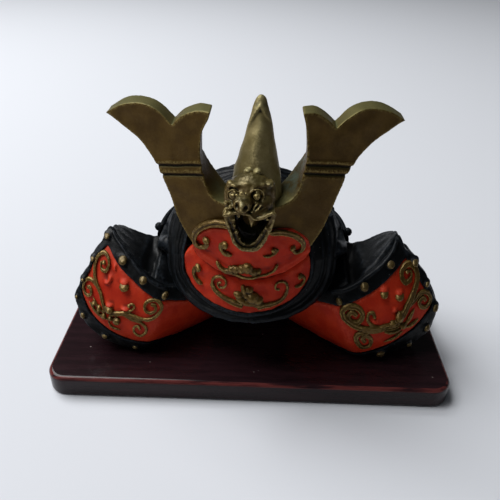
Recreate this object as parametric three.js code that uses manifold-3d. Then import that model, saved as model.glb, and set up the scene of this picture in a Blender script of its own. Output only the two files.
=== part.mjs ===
// Miniature samurai helmet (kabuto) on a rectangular display stand, in millimetres.
// +Z is up, -Y is the front, the origin is the middle of the stand's underside.

import * as THREE from 'three';
import { mergeVertices } from 'three/addons/utils/BufferGeometryUtils.js';
import Module from 'manifold-3d';

const wasm = await Module();
wasm.setup();

// ---------- driving dimensions ----------

const GAP = 0.3; // clearance between neighbouring pieces
const STAND = { width: 90, depth: 60, height: 5.1, corner: 4.5, edge: 0.5 };
const FLOOR = STAND.height + GAP; // the helmet's lowest level
const BOWL = { radius: 22.7, y: 0.5, z: 19.65, wall: 2, base: 24.5, ribs: 18, ribHeight: 0.35 };
const BOWL_BAND = { top: 28.2, thickness: 1.1, stud: 1.1, studs: 7 };
const LAMES = { count: 4, top: 24.2, radius: 22.4, flare: 4, overlap: 1, wall: 1.5, roundness: 0.92, front: 1.6 };
const VISOR = { halfWidth: 14.2, drop: 7.9, level: 28, top: 32.2, wall: 1.8 };
const RIM = { halfWidth: 18.9, drop: 10.2, rise: 14, roll: 0.9, backing: 1.9 };
const BLADE = { thickness: 5, groove: 0.4, grooveDepth: 0.5, grooves: [49.3, 51.5], middle: 0.2 };
const TIER = { proud: 0.9, lip: 32.3 };
const HORN = { root: 39.5, sides: 12, front: -17, notch: 47 };
const WING = { body: 1.7, panelFront: 0.2, panelBack: 0.9, band: -0.4, back: 1.2, cavity: 20.5, samples: 12 };
const CHEEK = { inner: 9.4, top: 18.6, wall: 2.4 };
const STUD = { radius: 1.05, sides: 6 };
const RELIEF = { width: 1.15, height: 0.9, lift: 0.05 };

// ---------- finishes ----------

const finish = (color, roughness, metalness) => new THREE.MeshStandardMaterial({ color, roughness, metalness });
const GOLD = finish('#6b5a35', 0.5, 0.35);
const BRIGHT_GOLD = finish('#86703f', 0.45, 0.4);
const RED = finish('#b5402f', 0.65, 0);
const BLACK = finish('#15171a', 0.45, 0);
const LACQUER = finish('#2a1216', 0.18, 0);

// ---------- the surfaces that the pieces follow, as y for a given x and z ----------

// Front of the blades: a shallow V, swept back at both sides and leaning back a little.
const crestFace = (x, z) => -23.5 + 0.42 * Math.hypot(x, 2) + 0.1 * (z - 38);

// Front of the raised red field over the visor.
const tierFace = (x, z) => crestFace(x, z) - TIER.proud + 0.12 * Math.max(0, 36 - z);

// Front of the visor, a plate that is curved round the brow and slopes forward.
const visorFace = (x, z) => -23.9 + 0.22 * (z - 20) + 0.0255 * x * x;

// The visor's surface, leaning back above the brow to follow the bowl.
const rimFace = (x, z) => visorFace(x, z) + 0.35 * Math.max(0, z - 29) ** 1.3;

// The crease, as x for a given z, where the front of a wing turns in to the cheek.
const crease = (z) => 19.4 + 0.4 * Math.max(0, 18 - z);

// Front of a turned-back wing and of the cheek beside it.
function wingFace(x, z) {
  const bulge = -22 + 0.03 * Math.max(0, z - 10) ** 2 + 0.04 * Math.max(0, 12 - z) ** 2;
  const side = Math.abs(x);
  const fold = crease(z);
  if (side > fold) return bulge + 0.015 * (side - 22) ** 2;
  return bulge + 0.015 * (fold - 22) ** 2 + 0.85 * (fold - side);
}

// Top of a wing, as z for a given x and y: a saddle that rises to the bowl.
function wingTop(x, y) {
  const ridge = 21.2 + 0.62 * (x - 19.3) + 0.02 * Math.max(0, x - 27) ** 2;
  const ridgeY = -17 + 0.06 * (x - 20) ** 2;
  const slope = 0.22 - 0.045 * (x - 20) - 0.04 * Math.max(0, x - 30.5);
  return ridge + slope * (y - ridgeY);
}

// ---------- outlines on those surfaces: [x, z] on the right-hand side ----------

const BLADE_FOOT = [[BLADE.middle, 34], [11.3, 32.6]];
const BLADE_OUTER = [[11.3, 32.6], [14.9, 37.8], [17, 43.5], [19.3, 49], [22.8, 53.7], [27, 56.3], [30, 58]];
const BLADE_CROWN = [[30, 58], [26.4, 60.2], [22.4, 61.1], [19, 60.4], [15.8, 57.9]];
const BLADE_POINT = [[15.8, 57.9], [13.6, 60.1], [11.3, 61.4], [9, 61.5]];
const BLADE_INNER = [[9, 61.5], [10, 57.5], [10.2, 52], [9, 46.7], [6.5, 44.4], [BLADE.middle, 44]];

const TIER_TOP = [[0, 39.9], [4, 39.8], [7.6, 39.4], [10, 38], [11.8, 36], [12.3, 33.4]];
const TIER_BOTTOM = [[0, 28.5], [3.4, 28.7], [6.6, 29.4], [9.4, 30.6], [11.2, 31.8], [12.3, 33.2]];

const WING_RIDGE = [[19.3, 21.2], [21.6, 22.7], [24.3, 24.3], [27.2, 25.9], [30.2, 28.3], [31.9, 31.1]];
const WING_EDGE = [
  [31.9, 31.1], [34, 29.8], [35, 27.7], [37, 25.6], [39.2, 22.5], [41.6, 17.4],
  [41, 13.4], [39.3, 10.6], [36.5, 8], [32.6, 6.2], [28.5, 5.6], [25.6, FLOOR],
];
const PANEL_TOP = [[19.8, 18.9], [21.4, 19.9], [24, 21.1], [26.3, 22.5], [29.1, 24.1], [31.3, 25.7], [33.2, 27.7]];
const PANEL_EDGE = [
  [33.2, 27.7], [35.2, 26.1], [36.8, 23.6], [38.2, 21.1], [39.3, 18.2], [37.4, 14.7],
  [35.4, 12.2], [32.7, 10], [29.3, 8.2], [24.7, 7.2],
];

const TOP_STUDS = [[19, 20.2], [24.4, 22.9], [28.8, 25.9]];
const BUTTONS = [[28.8, 21.4], [32.5, 20.4]];
const EDGE_STUDS = [[33, 29.2], [36.8, 26.2], [39.1, 21.8], [41, 16.8], [39.4, 12.8], [34.9, 8.4], [28.4, 6.7]];

// Where a wing's top band ends and its edge band begins.
const BAND_JOINT = { lower: [31.9, 26.3], upper: [30.7, 29.1] };

// ---------- solids ----------

function toSolid(geometry) {
  const bare = geometry.clone();
  bare.deleteAttribute('normal');
  bare.deleteAttribute('uv');
  const merged = mergeVertices(bare, 1e-4);
  const vertProperties = new Float32Array(merged.attributes.position.array);
  const triVerts = new Uint32Array(merged.index.array);
  return new wasm.Manifold(new wasm.Mesh({ numProp: 3, vertProperties, triVerts }));
}

function toGeometry(solid) {
  const mesh = solid.getMesh();
  const geometry = new THREE.BufferGeometry();
  geometry.setAttribute('position', new THREE.BufferAttribute(new Float32Array(mesh.vertProperties), 3));
  geometry.setIndex(new THREE.BufferAttribute(new Uint32Array(mesh.triVerts), 1));
  return geometry;
}

// A closed mesh from points and triangles, turned inside out if its volume comes out negative.
function closedGeometry(points, triangles) {
  let volume = 0;
  for (const [a, b, c] of triangles) {
    const [p, q, r] = [points[a], points[b], points[c]];
    volume += p[0] * (q[1] * r[2] - q[2] * r[1]);
    volume -= p[1] * (q[0] * r[2] - q[2] * r[0]);
    volume += p[2] * (q[0] * r[1] - q[1] * r[0]);
  }
  const facing = volume < 0 ? triangles.map(([a, b, c]) => [a, c, b]) : triangles;
  const geometry = new THREE.BufferGeometry();
  geometry.setAttribute('position', new THREE.Float32BufferAttribute(points.flat(), 3));
  geometry.setIndex(facing.flat());
  return geometry;
}

// A solid through a row of like rings. A ring runs along one side and back along the other, so its
// points face each other in pairs, and both ends are closed by a strip between those pairs.
function loft(rings) {
  const size = rings[0].length;
  const triangles = [];
  for (let i = 0; i + 1 < rings.length; i += 1) {
    for (let j = 0; j < size; j += 1) {
      const next = (j + 1) % size;
      const [a, b, c, d] = [i * size + j, i * size + next, (i + 1) * size + next, (i + 1) * size + j];
      triangles.push([a, b, c], [a, c, d]);
    }
  }
  const last = (rings.length - 1) * size;
  for (let j = 0; j < size / 2 - 1; j += 1) {
    const [a, b, c, d] = [j, j + 1, size - 2 - j, size - 1 - j];
    triangles.push([a, c, b], [a, d, c]);
    triangles.push([last + a, last + b, last + c], [last + a, last + c, last + d]);
  }
  return toSolid(closedGeometry(rings.flat(), triangles));
}

// Evenly spaced points of a smooth curve through the given ones.
function smooth(points, count) {
  const curve = new THREE.SplineCurve(points.map(([x, z]) => new THREE.Vector2(x, z)));
  return curve.getSpacedPoints(count - 1).map((p) => [p.x, p.y]);
}

// A sheet between two edge curves, thick between the depths in its rows. A row holds s, from 0 at
// the first curve to 1 at the second, with the depth of the front and of the back behind the face.
function sheet(first, second, face, rows) {
  const rings = first.map(([x0, z0], i) => {
    const [x1, z1] = second[i];
    const at = (s, depth) => {
      const x = x0 + (x1 - x0) * s;
      const z = z0 + (z1 - z0) * s;
      return [x, face(x, z) + depth, z];
    };
    return [...rows.map((row) => at(row.s, row.front)), ...rows.toReversed().map((row) => at(row.s, row.back))];
  });
  return loft(rings);
}

function evenRows(count, front, back) {
  return Array.from({ length: count }, (_, i) => ({ s: i / (count - 1), front, back }));
}

// An outline in the XZ plane, extruded along y and then bent by place(x, depth, z) to its position.
function prism(outline, place) {
  const shape = new THREE.Shape(outline.map(([x, z]) => new THREE.Vector2(x, z)));
  const geometry = new THREE.ExtrudeGeometry(shape, { depth: 1, bevelEnabled: false });
  const bare = new THREE.BufferGeometry();
  bare.setAttribute('position', geometry.attributes.position);
  const merged = mergeVertices(bare, 1e-4);
  const position = merged.attributes.position;
  const points = Array.from({ length: position.count }, (_, i) =>
    place(position.getX(i), position.getZ(i), position.getY(i)));
  const index = Array.from(merged.index.array);
  const triangles = Array.from({ length: index.length / 3 }, (_, i) => index.slice(i * 3, i * 3 + 3));
  return toSolid(closedGeometry(points, triangles));
}

// A block between two heights given over a grid, with place(u, v, height) giving the position.
function gridBlock(u, v, step, low, high, place) {
  const columns = Math.ceil((u[1] - u[0]) / step);
  const rows = Math.ceil((v[1] - v[0]) / step);
  const points = [];
  const triangles = [];
  const index = (i, j, side) => (i * (rows + 1) + j) * 2 + side;
  for (let i = 0; i <= columns; i += 1) {
    for (let j = 0; j <= rows; j += 1) {
      const a = u[0] + ((u[1] - u[0]) * i) / columns;
      const b = v[0] + ((v[1] - v[0]) * j) / rows;
      points.push(place(a, b, low(a, b)), place(a, b, high(a, b)));
    }
  }
  const quad = (a, b, c, d) => triangles.push([a, b, c], [a, c, d]);
  for (let i = 0; i < columns; i += 1) {
    for (let j = 0; j < rows; j += 1) {
      quad(index(i, j, 1), index(i + 1, j, 1), index(i + 1, j + 1, 1), index(i, j + 1, 1));
      quad(index(i, j + 1, 0), index(i + 1, j + 1, 0), index(i + 1, j, 0), index(i, j, 0));
    }
  }
  for (let i = 0; i < columns; i += 1) {
    quad(index(i, 0, 0), index(i + 1, 0, 0), index(i + 1, 0, 1), index(i, 0, 1));
    quad(index(i + 1, rows, 0), index(i, rows, 0), index(i, rows, 1), index(i + 1, rows, 1));
  }
  for (let j = 0; j < rows; j += 1) {
    quad(index(0, j + 1, 0), index(0, j, 0), index(0, j, 1), index(0, j + 1, 1));
    quad(index(columns, j, 0), index(columns, j + 1, 0), index(columns, j + 1, 1), index(columns, j, 1));
  }
  return toSolid(closedGeometry(points, triangles));
}

function box(x, y, z) {
  const geometry = new THREE.BoxGeometry(x[1] - x[0], y[1] - y[0], z[1] - z[0]);
  geometry.translate((x[0] + x[1]) / 2, (y[0] + y[1]) / 2, (z[0] + z[1]) / 2);
  return toSolid(geometry);
}

function ellipsoid(centre, radii, sides = 12) {
  const geometry = new THREE.SphereGeometry(1, sides, Math.round(sides / 2));
  geometry.rotateX(Math.PI / 2);
  geometry.scale(...radii);
  geometry.translate(...centre);
  return toSolid(geometry);
}

const join = (solids) => solids.reduce((whole, piece) => whole.add(piece));

// A half-sunk stud on a face, centred at x and z.
function stud(face, depth, [x, z]) {
  return ellipsoid([x, face(x, z) + depth, z], [STUD.radius, STUD.radius, STUD.radius], STUD.sides);
}

// A raised line of relief on a face: tapered towards its end, with a bead there if it has one.
function vine(face, points, { count = 14, width = RELIEF.width, taper = 0.7, bead = 0 } = {}) {
  const path = smooth(points, count);
  const edge = (side) => path.map(([x, z], i) => {
    const [xa, za] = path[Math.max(0, i - 1)];
    const [xb, zb] = path[Math.min(count - 1, i + 1)];
    const length = Math.hypot(xb - xa, zb - za);
    const half = (width / 2) * (1 + (taper - 1) * (i / (count - 1)));
    return [x - (side * half * (zb - za)) / length, z + (side * half * (xb - xa)) / length];
  });
  const [left, right] = [edge(-1), edge(1)];
  const rings = left.map(([x0, z0], i) => {
    const [x1, z1] = right[i];
    const at = (s, depth) => {
      const [x, z] = [x0 + (x1 - x0) * s, z0 + (z1 - z0) * s];
      return [x, face(x, z) - depth, z];
    };
    return [at(0, RELIEF.lift), at(0.2, RELIEF.height), at(0.8, RELIEF.height), at(1, RELIEF.lift)];
  });
  const line = loft(rings);
  if (!bead) return line;
  const [x, z] = path[count - 1];
  const ball = ellipsoid([x, face(x, z) - RELIEF.lift, z], [bead, bead, bead], 6);
  const cover = gridBlock([x - 2, x + 2], [z - 2, z + 2], 2, (a, b) => face(a, b) - 4,
    (a, b) => face(a, b) - RELIEF.lift, (a, b, y) => [a, y, b]);
  return line.add(ball.intersect(cover));
}

// Points of a curl that winds in to its centre from an angle, by some turns, plus or minus.
function curl([x, z], radius, angle, turns, steps = 6) {
  return Array.from({ length: steps }, (_, i) => {
    const t = i / (steps - 1);
    const r = radius * (1 - 0.62 * t);
    const a = THREE.MathUtils.degToRad(angle) + turns * 2 * Math.PI * t;
    return [x + r * Math.cos(a), z + r * Math.sin(a)];
  });
}

// ---------- the bowl and what goes round it ----------

function sphereRoom(extra) {
  const radius = BOWL.radius + extra;
  return ellipsoid([0, BOWL.y, BOWL.z], [radius, radius, radius], 40);
}

function bowl() {
  const low = Math.asin((BOWL.base - BOWL.z) / BOWL.radius);
  const arc = (radius, from, to, steps) => Array.from({ length: steps + 1 }, (_, i) => {
    const a = from + ((to - from) * i) / steps;
    return new THREE.Vector2(radius * Math.cos(a), radius * Math.sin(a));
  });
  const inner = BOWL.radius - BOWL.wall;
  const innerLow = Math.asin((BOWL.base - BOWL.z) / inner);
  const profile = [...arc(inner, Math.PI / 2, innerLow, 3), ...arc(BOWL.radius, low, Math.PI / 2, 6)];
  profile[0].x = 0;
  profile.at(-1).x = 0;
  const geometry = new THREE.LatheGeometry(profile, BOWL.ribs * 2);
  geometry.rotateX(Math.PI / 2);
  const position = geometry.attributes.position;
  for (let i = 0; i < position.count; i += 1) {
    const point = new THREE.Vector3().fromBufferAttribute(position, i);
    const across = Math.hypot(point.x, point.y);
    if (point.length() > BOWL.radius - 0.1 && across > 0.1) {
      const angle = Math.atan2(point.y, point.x);
      const rib = (BOWL.ribHeight / 2) * (Math.cos(angle * BOWL.ribs) - 1);
      point.multiplyScalar(1 + (rib / BOWL.radius) * Math.min(1, across / 8));
    }
    position.setXYZ(i, point.x, point.y + BOWL.y, point.z + BOWL.z);
  }
  const browCut = box([-18, 18], [-40, -8], [BOWL.base - 5, TIER.lip - 1]);
  return upright(toSolid(geometry)).subtract(browCut);
}

// A lathed solid may come out inverted, depending on which way its profile runs.
function upright(solid) {
  if (solid.volume() > 0) return solid;
  const geometry = toGeometry(solid);
  const index = geometry.index.array;
  for (let i = 0; i < index.length; i += 3) {
    [index[i + 1], index[i + 2]] = [index[i + 2], index[i + 1]];
  }
  return toSolid(geometry);
}

function bowlBand() {
  const { radius, base, z: centre } = BOWL;
  const heights = [base, (base + BOWL_BAND.top) / 2, BOWL_BAND.top];
  const inner = heights.map((z) => [Math.sqrt(radius ** 2 - (z - centre) ** 2) + GAP, z]);
  const outer = inner.map(([r, z]) => [r + BOWL_BAND.thickness, z]).toReversed();
  const profile = [...inner, ...outer, inner[0]].map(([r, z]) => new THREE.Vector2(r, z));
  const geometry = new THREE.LatheGeometry(profile, 32);
  geometry.rotateX(Math.PI / 2);
  geometry.translate(0, BOWL.y, 0);
  const ring = upright(toSolid(geometry));
  const studHeight = (base + BOWL_BAND.top) / 2 + 0.4;
  const studRing = Math.sqrt(radius ** 2 - (studHeight - centre) ** 2) + GAP + BOWL_BAND.thickness;
  const studs = Array.from({ length: BOWL_BAND.studs }, (_, i) => {
    const angle = (Math.PI * i) / (BOWL_BAND.studs - 1);
    const centrePoint = [studRing * Math.cos(angle), BOWL.y + studRing * Math.sin(angle), studHeight];
    return ellipsoid(centrePoint, [BOWL_BAND.stud, BOWL_BAND.stud, BOWL_BAND.stud], 6);
  });
  return join([ring, ...studs]).subtract(box([-40, 40], [-40, -4], [0, 60]));
}

function lame(i) {
  const drop = (LAMES.top - FLOOR + (LAMES.count - 1) * LAMES.overlap) / LAMES.count;
  const top = LAMES.top - i * (drop - LAMES.overlap);
  const tuck = LAMES.flare * (1 - LAMES.overlap / drop) - LAMES.wall - GAP;
  const radius = LAMES.radius + i * tuck;
  const profile = [[radius, top], [radius + LAMES.flare, top - drop], [radius + LAMES.flare - LAMES.wall, top - drop],
    [radius - LAMES.wall, top], [radius, top]].map(([r, z]) => new THREE.Vector2(r, z));
  const geometry = new THREE.LatheGeometry(profile, 44);
  geometry.rotateX(Math.PI / 2);
  geometry.scale(1, LAMES.roundness, 1);
  geometry.translate(0, BOWL.y, 0);
  return upright(toSolid(geometry)).intersect(box([-50, 50], [LAMES.front, 50], [0, 60]));
}

// ---------- the front ----------

// A point of a rounded-square arch; 0 degrees is its right side, -90 its lowest point.
function archPoint(halfWidth, drop, rise, degrees) {
  const angle = THREE.MathUtils.degToRad(degrees);
  const soft = (value) => Math.sign(value) * Math.abs(value) ** (2 / 3);
  const height = angle < 0 && angle > -Math.PI ? drop : rise;
  return [halfWidth * soft(Math.cos(angle)), VISOR.level + height * soft(Math.sin(angle))];
}

function archPoints(halfWidth, drop, rise, reach, count) {
  return Array.from({ length: count }, (_, i) => {
    const degrees = reach - ((180 + 2 * reach) * i) / (count - 1);
    return archPoint(halfWidth, drop, rise, degrees);
  });
}

function visor() {
  const bottom = archPoints(VISOR.halfWidth, VISOR.drop, RIM.rise, 0, 17);
  const top = bottom.map(([x]) => [x * 0.985, VISOR.top]);
  return sheet(bottom, top, visorFace, evenRows(4, 0, VISOR.wall));
}

function visorRim() {
  const reach = 24;
  const inner = archPoints(VISOR.halfWidth + GAP, VISOR.drop + GAP, RIM.rise, reach, 25);
  const outer = archPoints(RIM.halfWidth, RIM.drop, RIM.rise, reach, 25);
  const rows = [
    { s: 0, front: 0, back: RIM.backing },
    { s: 0.2, front: -RIM.roll, back: RIM.backing },
    { s: 0.5, front: -0.15, back: RIM.backing },
    { s: 0.8, front: -RIM.roll, back: RIM.backing },
    { s: 1, front: 0.1, back: RIM.backing },
  ];
  return sheet(inner, outer, rimFace, rows);
}

// Places a blade's outline: it thickens towards the bowl and its back is drawn in to the middle.
function bladePlace(x, depth, z) {
  const root = 1 + 0.14 * Math.max(0, 45 - z) * Math.max(0, 1 - Math.abs(x) / 11);
  const drawIn = Math.min(3.5, 0.45 * Math.max(0, 52.5 - z));
  return [x - depth * drawIn, crestFace(x, z) + depth * BLADE.thickness * root, z];
}

function blade() {
  const outline = [
    ...BLADE_FOOT.slice(0, 1), ...smooth(BLADE_OUTER, 13), ...smooth(BLADE_CROWN, 8).slice(1),
    ...smooth(BLADE_POINT, 5).slice(1), ...smooth(BLADE_INNER, 11).slice(1),
  ];
  const middle = box([BLADE.middle, 60], [-60, 60], [0, 80]);
  const cuts = BLADE.grooves.map((z) => prism(
    [[6, z], [26, z], [26, z + BLADE.groove], [6, z + BLADE.groove]],
    (x, depth, height) => [x, crestFace(x, height) - 1 + depth * (1 + BLADE.grooveDepth), height],
  ));
  return prism(outline, bladePlace).intersect(middle).subtract(sphereRoom(GAP)).subtract(join(cuts));
}

function crestField() {
  const mirrored = (points) => [...points.slice(1).toReversed().map(([x, z]) => [-x, z]), ...points];
  const bottom = smooth(mirrored(TIER_BOTTOM), 17);
  const top = smooth(mirrored(TIER_TOP), 17);
  const skin = sheet(bottom, top, tierFace, evenRows(4, 0, 12));
  const behind = gridBlock([-16, 16], [TIER.lip, 44], 2, (x, z) => crestFace(x, z) - GAP, () => 0,
    (x, z, y) => [x, y, z]);
  const below = gridBlock([-16, 16], [24, TIER.lip + 0.01], 2, (x, z) => visorFace(x, z) - GAP, () => 0,
    (x, z, y) => [x, y, z]);
  return skin.subtract(behind).subtract(below);
}

// Cuts a neighbour away from a solid, with the usual clearance round it.
function clear(solid, neighbour) {
  const around = [-1, 0, 1];
  const steps = around.flatMap((x) => around.flatMap((y) => around.map((z) => new THREE.Vector3(x, y, z))));
  return steps.reduce((rest, step) => {
    const { x, y, z } = step.setLength(GAP);
    return rest.subtract(neighbour.translate(x, y, z));
  }, solid);
}

const largest = (solid) => solid.decompose().reduce((a, b) => (a.volume() > b.volume() ? a : b));

function horn(blades) {
  const rows = [ // height, x and y of the axis, half width, half depth
    { z: HORN.root, x: 0.5, y: -15.5, across: 5.6, deep: 5.2 },
    { z: 45, x: 0.6, y: -15.7, across: 5.5, deep: 5 },
    { z: 49.5, x: 0.75, y: -15, across: 4.6, deep: 4.3 },
    { z: 54, x: 0.95, y: -14.1, across: 3.4, deep: 3.3 },
    { z: 58, x: 1.1, y: -13.1, across: 2.4, deep: 2.5 },
    { z: 61, x: 1.15, y: -12.2, across: 1.7, deep: 1.8 },
    { z: 62.8, x: 1.2, y: -11.7, across: 0.9, deep: 1 },
    { z: 63.4, x: 1.2, y: -11.5, across: 0.3, deep: 0.3 },
  ];
  const ring = Array.from({ length: HORN.sides }, (_, i) => (2 * Math.PI * i) / HORN.sides);
  const rings = rows.map((row) => ring.map((a) =>
    [row.x + row.across * Math.cos(a), row.y + row.deep * Math.sin(a), row.z]));
  const cone = loft(rings);
  return largest(clear(clear(cone, blades), sphereRoom(0)));
}

// The beast's head: its skull, muzzle, brows, cheeks and hanging jaw, with an open mouth.
function beastHead(hornSolid) {
  const forms = [ // centre and half sizes in x, y and z, and how many sides it is drawn with
    { at: [-0.5, -20.6, 46.1], size: [5.1, 5, 4.7], sides: 10 },
    { at: [-1.6, -25.4, 46.4], size: [2.9, 3.6, 2.3], sides: 8 },
    { at: [-4.3, -22.8, 49.2], size: [1.5, 1.6, 1.4], sides: 7 },
    { at: [3.3, -22.4, 49.1], size: [1.5, 1.6, 1.4], sides: 7 },
    { at: [-4.4, -22.6, 44.4], size: [1.7, 2.4, 2], sides: 7 },
    { at: [3.5, -22.8, 44.4], size: [1.9, 2.4, 2.2], sides: 7 },
    { at: [-0.6, -22.9, 41.6], size: [5, 4.6, 4.8], sides: 12 },
  ];
  const mouth = ellipsoid([-0.7, -27.6, 42.3], [3.9, 2.6, 3.4], 8);
  const head = join(forms.map(({ at, size, sides }) => ellipsoid(at, size, sides))).subtract(mouth);
  const room = (z, face) => gridBlock([-12, 12], z, 3, face, () => -10, (x, height, y) => [x, y, height]);
  const relief = room([26, 40.6], (x, z) => tierFace(x, z) - RELIEF.height - 2 * GAP);
  const blades = room([30, HORN.notch], (x, z) => crestFace(x, z) - GAP);
  const behind = box([-12, 14], [HORN.front, 0], [30, 60]);
  return largest(clear(head.subtract(relief).subtract(blades), hornSolid).subtract(behind));
}

// ---------- the sides ----------

function wingBody() {
  const outline = [...smooth(WING_RIDGE, 8), ...smooth(WING_EDGE, 15).slice(1),
    [crease(10) + GAP, 10], [crease(19) + GAP, 19], [16.5, 20.4]];
  const ridge = outline.map(([x, z]) => (z > 20.5 && x < 31.8 ? [x < 20 ? 16.5 : x, z + 8] : [x, z]));
  const silhouette = prism(ridge, (x, depth, z) => [x, -30 + depth * 40, z]);
  const slab = gridBlock([16, 43], [4, 40], 3, (x, z) => wingFace(x, z) + WING.body, () => WING.back,
    (x, z, y) => [x, y, z]);
  const top = gridBlock([16, 44], [-24, WING.back + 1], 4, () => 0, (x, y) => wingTop(x, y),
    (x, y, z) => [x, y, z]);
  const taper = prism([[0, -30], [42.3, -30], [42.3, -13], [33, WING.back + 2], [0, WING.back + 2]],
    (x, depth, y) => [x, y, depth * 50]);
  const cavity = new THREE.CylinderGeometry(WING.cavity, WING.cavity, BOWL.base, 40);
  cavity.rotateX(Math.PI / 2);
  cavity.translate(0, BOWL.y, BOWL.base / 2 - GAP);
  const bowlRoom = sphereRoom(BOWL_BAND.thickness + 2 * GAP)
    .intersect(box([-40, 40], [-40, 40], [BOWL.base - 2 * GAP, 60]));
  return slab.intersect(top).intersect(silhouette).intersect(taper)
    .subtract(toSolid(cavity)).subtract(bowlRoom).subtract(rimRoom());
}

function rimRoom() {
  const reach = 24;
  const inner = archPoints(6, 4, RIM.rise, reach, 19);
  const outer = archPoints(RIM.halfWidth + GAP, RIM.drop + GAP, RIM.rise, reach, 19);
  return sheet(inner, outer, rimFace, evenRows(4, -8, RIM.backing + GAP));
}

function wingPanel() {
  const edge = smooth(PANEL_EDGE, WING.samples).toReversed();
  const top = smooth(PANEL_TOP, WING.samples);
  const panel = sheet(edge, top, wingFace, evenRows(4, WING.panelFront, WING.panelBack));
  return join([panel, ...BUTTONS.map((at) => stud(wingFace, WING.panelFront - 0.1, at))]);
}

function topBand() {
  const count = 8;
  const lower = smooth([...PANEL_TOP.slice(0, -1), BAND_JOINT.lower], count).map(([x, z]) => [x - 0.1, z + GAP]);
  const upper = smooth([...WING_RIDGE.slice(0, -1), BAND_JOINT.upper], count);
  const band = sheet(lower, upper, wingFace, evenRows(2, WING.band, WING.panelBack));
  return join([band, ...TOP_STUDS.map((at) => stud(wingFace, WING.band + 0.1, at))]);
}

function edgeBand() {
  const spread = 1.5 * GAP;
  const beside = ([x, z]) => [x + spread, z + 2 * spread];
  const inner = smooth(PANEL_EDGE, WING.samples).map(([x, z]) => [x + spread, z + (z < 16 ? -spread : spread / 2)]);
  inner[0][1] += spread;
  inner.unshift(beside(BAND_JOINT.lower));
  const outer = [beside(BAND_JOINT.upper), ...smooth(WING_EDGE, WING.samples)];
  const band = sheet(inner, outer, wingFace, evenRows(2, WING.band, WING.panelBack));
  return join([band, ...EDGE_STUDS.map((at) => stud(wingFace, WING.band + 0.1, at))])
    .intersect(box([0, 60], [-60, 60], [FLOOR, 60]));
}

function cheek() {
  const levels = [FLOOR, 8, 11, 14, 16.5, CHEEK.top];
  const inner = levels.map((z) => [CHEEK.inner, z]);
  const outer = levels.map((z) => [crease(z) - GAP, z]);
  const rows = Array.from({ length: 6 }, (_, i) => ({ s: i / 5, front: 0, back: CHEEK.wall }));
  return sheet(inner, outer, wingFace, rows).subtract(rimRoom());
}

// ---------- the relief ----------

function wingVines() {
  const face = (x, z) => wingFace(x, z) + WING.panelFront - GAP;
  const line = (points, options) => vine(face, points, options);
  return join([
    line([[32.6, 15.6], [34.6, 18.2], [35.6, 21], ...curl([33.9, 23.9], 1.6, 20, 1.1)], { count: 11 }),
    line([[34.4, 17.2], [36, 18.6], ...curl([36.9, 19.3], 1.2, 200, -0.9)], { count: 8, width: 1 }),
    line([[32.4, 15.2], [29, 15.8], [26.4, 14.8], [23.6, 15], ...curl([22.6, 17.3], 1.9, 290, 1.2)], { count: 12 }),
    line([[28.6, 15.4], [26.8, 16.2], ...curl([26.9, 17.6], 0.9, 240, -0.6, 4)], { count: 6, width: 0.9 }),
    line([[28.6, 15.2], [26.2, 14], ...curl([25.2, 11.8], 1.4, 80, 1)], { count: 8 }),
    line([[32.4, 16], [30, 12.2]], { count: 3, width: 1.6 }),
    line([[32.4, 15.4], [34.8, 13.6]], { count: 3, width: 1.5 }),
    line([[31.6, 17], [35.8, 15.4]], { count: 3, width: 1.6 }),
    ellipsoid([32.4, face(32.4, 15.8) - 0.75, 15.8], [1.5, 0.75, 1.4], 6),
  ]);
}

function crestCurl(side) {
  const face = (x, z) => tierFace(x, z) - GAP + RELIEF.lift;
  const points = [[4.6, 39.8], [7.6, 39.6], [9.9, 38.4], [11.4, 36.6], [11.5, 34.4], [10.2, 33.4], [9, 34], [8.9, 35.4]];
  return vine(face, points.map(([x, z]) => [side * x, z]), { count: 12, bead: 0.85 });
}

function crestComma(side) {
  const face = (x, z) => tierFace(x, z) - GAP + RELIEF.lift;
  const points = side < 0
    ? [[-3.9, 33.5], [-5.2, 33.7], [-6, 34.7], [-5.5, 35.8]]
    : [[2.6, 33.6], [3.9, 33.6], [5, 34.3], [5.2, 35.4]];
  return vine(face, points, { count: 8, bead: 0.8 });
}

function crestGarland() {
  const face = (x, z) => tierFace(x, z) - GAP + RELIEF.lift;
  const points = [[-7.6, 31.4], [-5.2, 30.1], [-1.5, 29.5], [2.6, 29.5], [5.8, 31]];
  const arc = vine(face, points, { count: 10, taper: 0.6 });
  const buds = [[-4, 30.4, 0.9], [-2.4, 30.7, 1.1], [-0.6, 30.6, 1.1], [1.2, 30.2, 0.9]];
  const lumps = buds.map(([x, z, size]) => ellipsoid([x, face(x, z) - 0.6, z], [size, 0.6, size], 6));
  return join([arc, ...lumps]);
}

function visorCurl(side) {
  const face = (x, z) => visorFace(x, z) - GAP + RELIEF.lift;
  const points = [[10.6, 25], [12.1, 25.6], [12.2, 27], [11, 27.7]];
  return vine(face, points.map(([x, z]) => [side * x, z]), { count: 9, bead: 0.8 });
}

function visorGarland() {
  const face = (x, z) => visorFace(x, z) - GAP + RELIEF.lift;
  const side = (sign) => vine(face, [[0, 21.4], [3, 21.6], [5.6, 22.5], [7.7, 23.9],
    ...curl([6.3, 25.2], 1.6, -10, 1.1)].map(([x, z]) => [sign * x, z]), { count: 13 });
  const buds = [[-2.2, 23, 1], [-0.8, 24, 1], [0.4, 22.8, 1.3], [1.9, 22.5, 1]];
  const lumps = buds.map(([x, z, size]) => ellipsoid([x, face(x, z) - 0.7, z], [size, 0.7, size], 6));
  return join([side(-1), side(1), ...lumps]);
}

// ---------- the stand ----------

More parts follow.
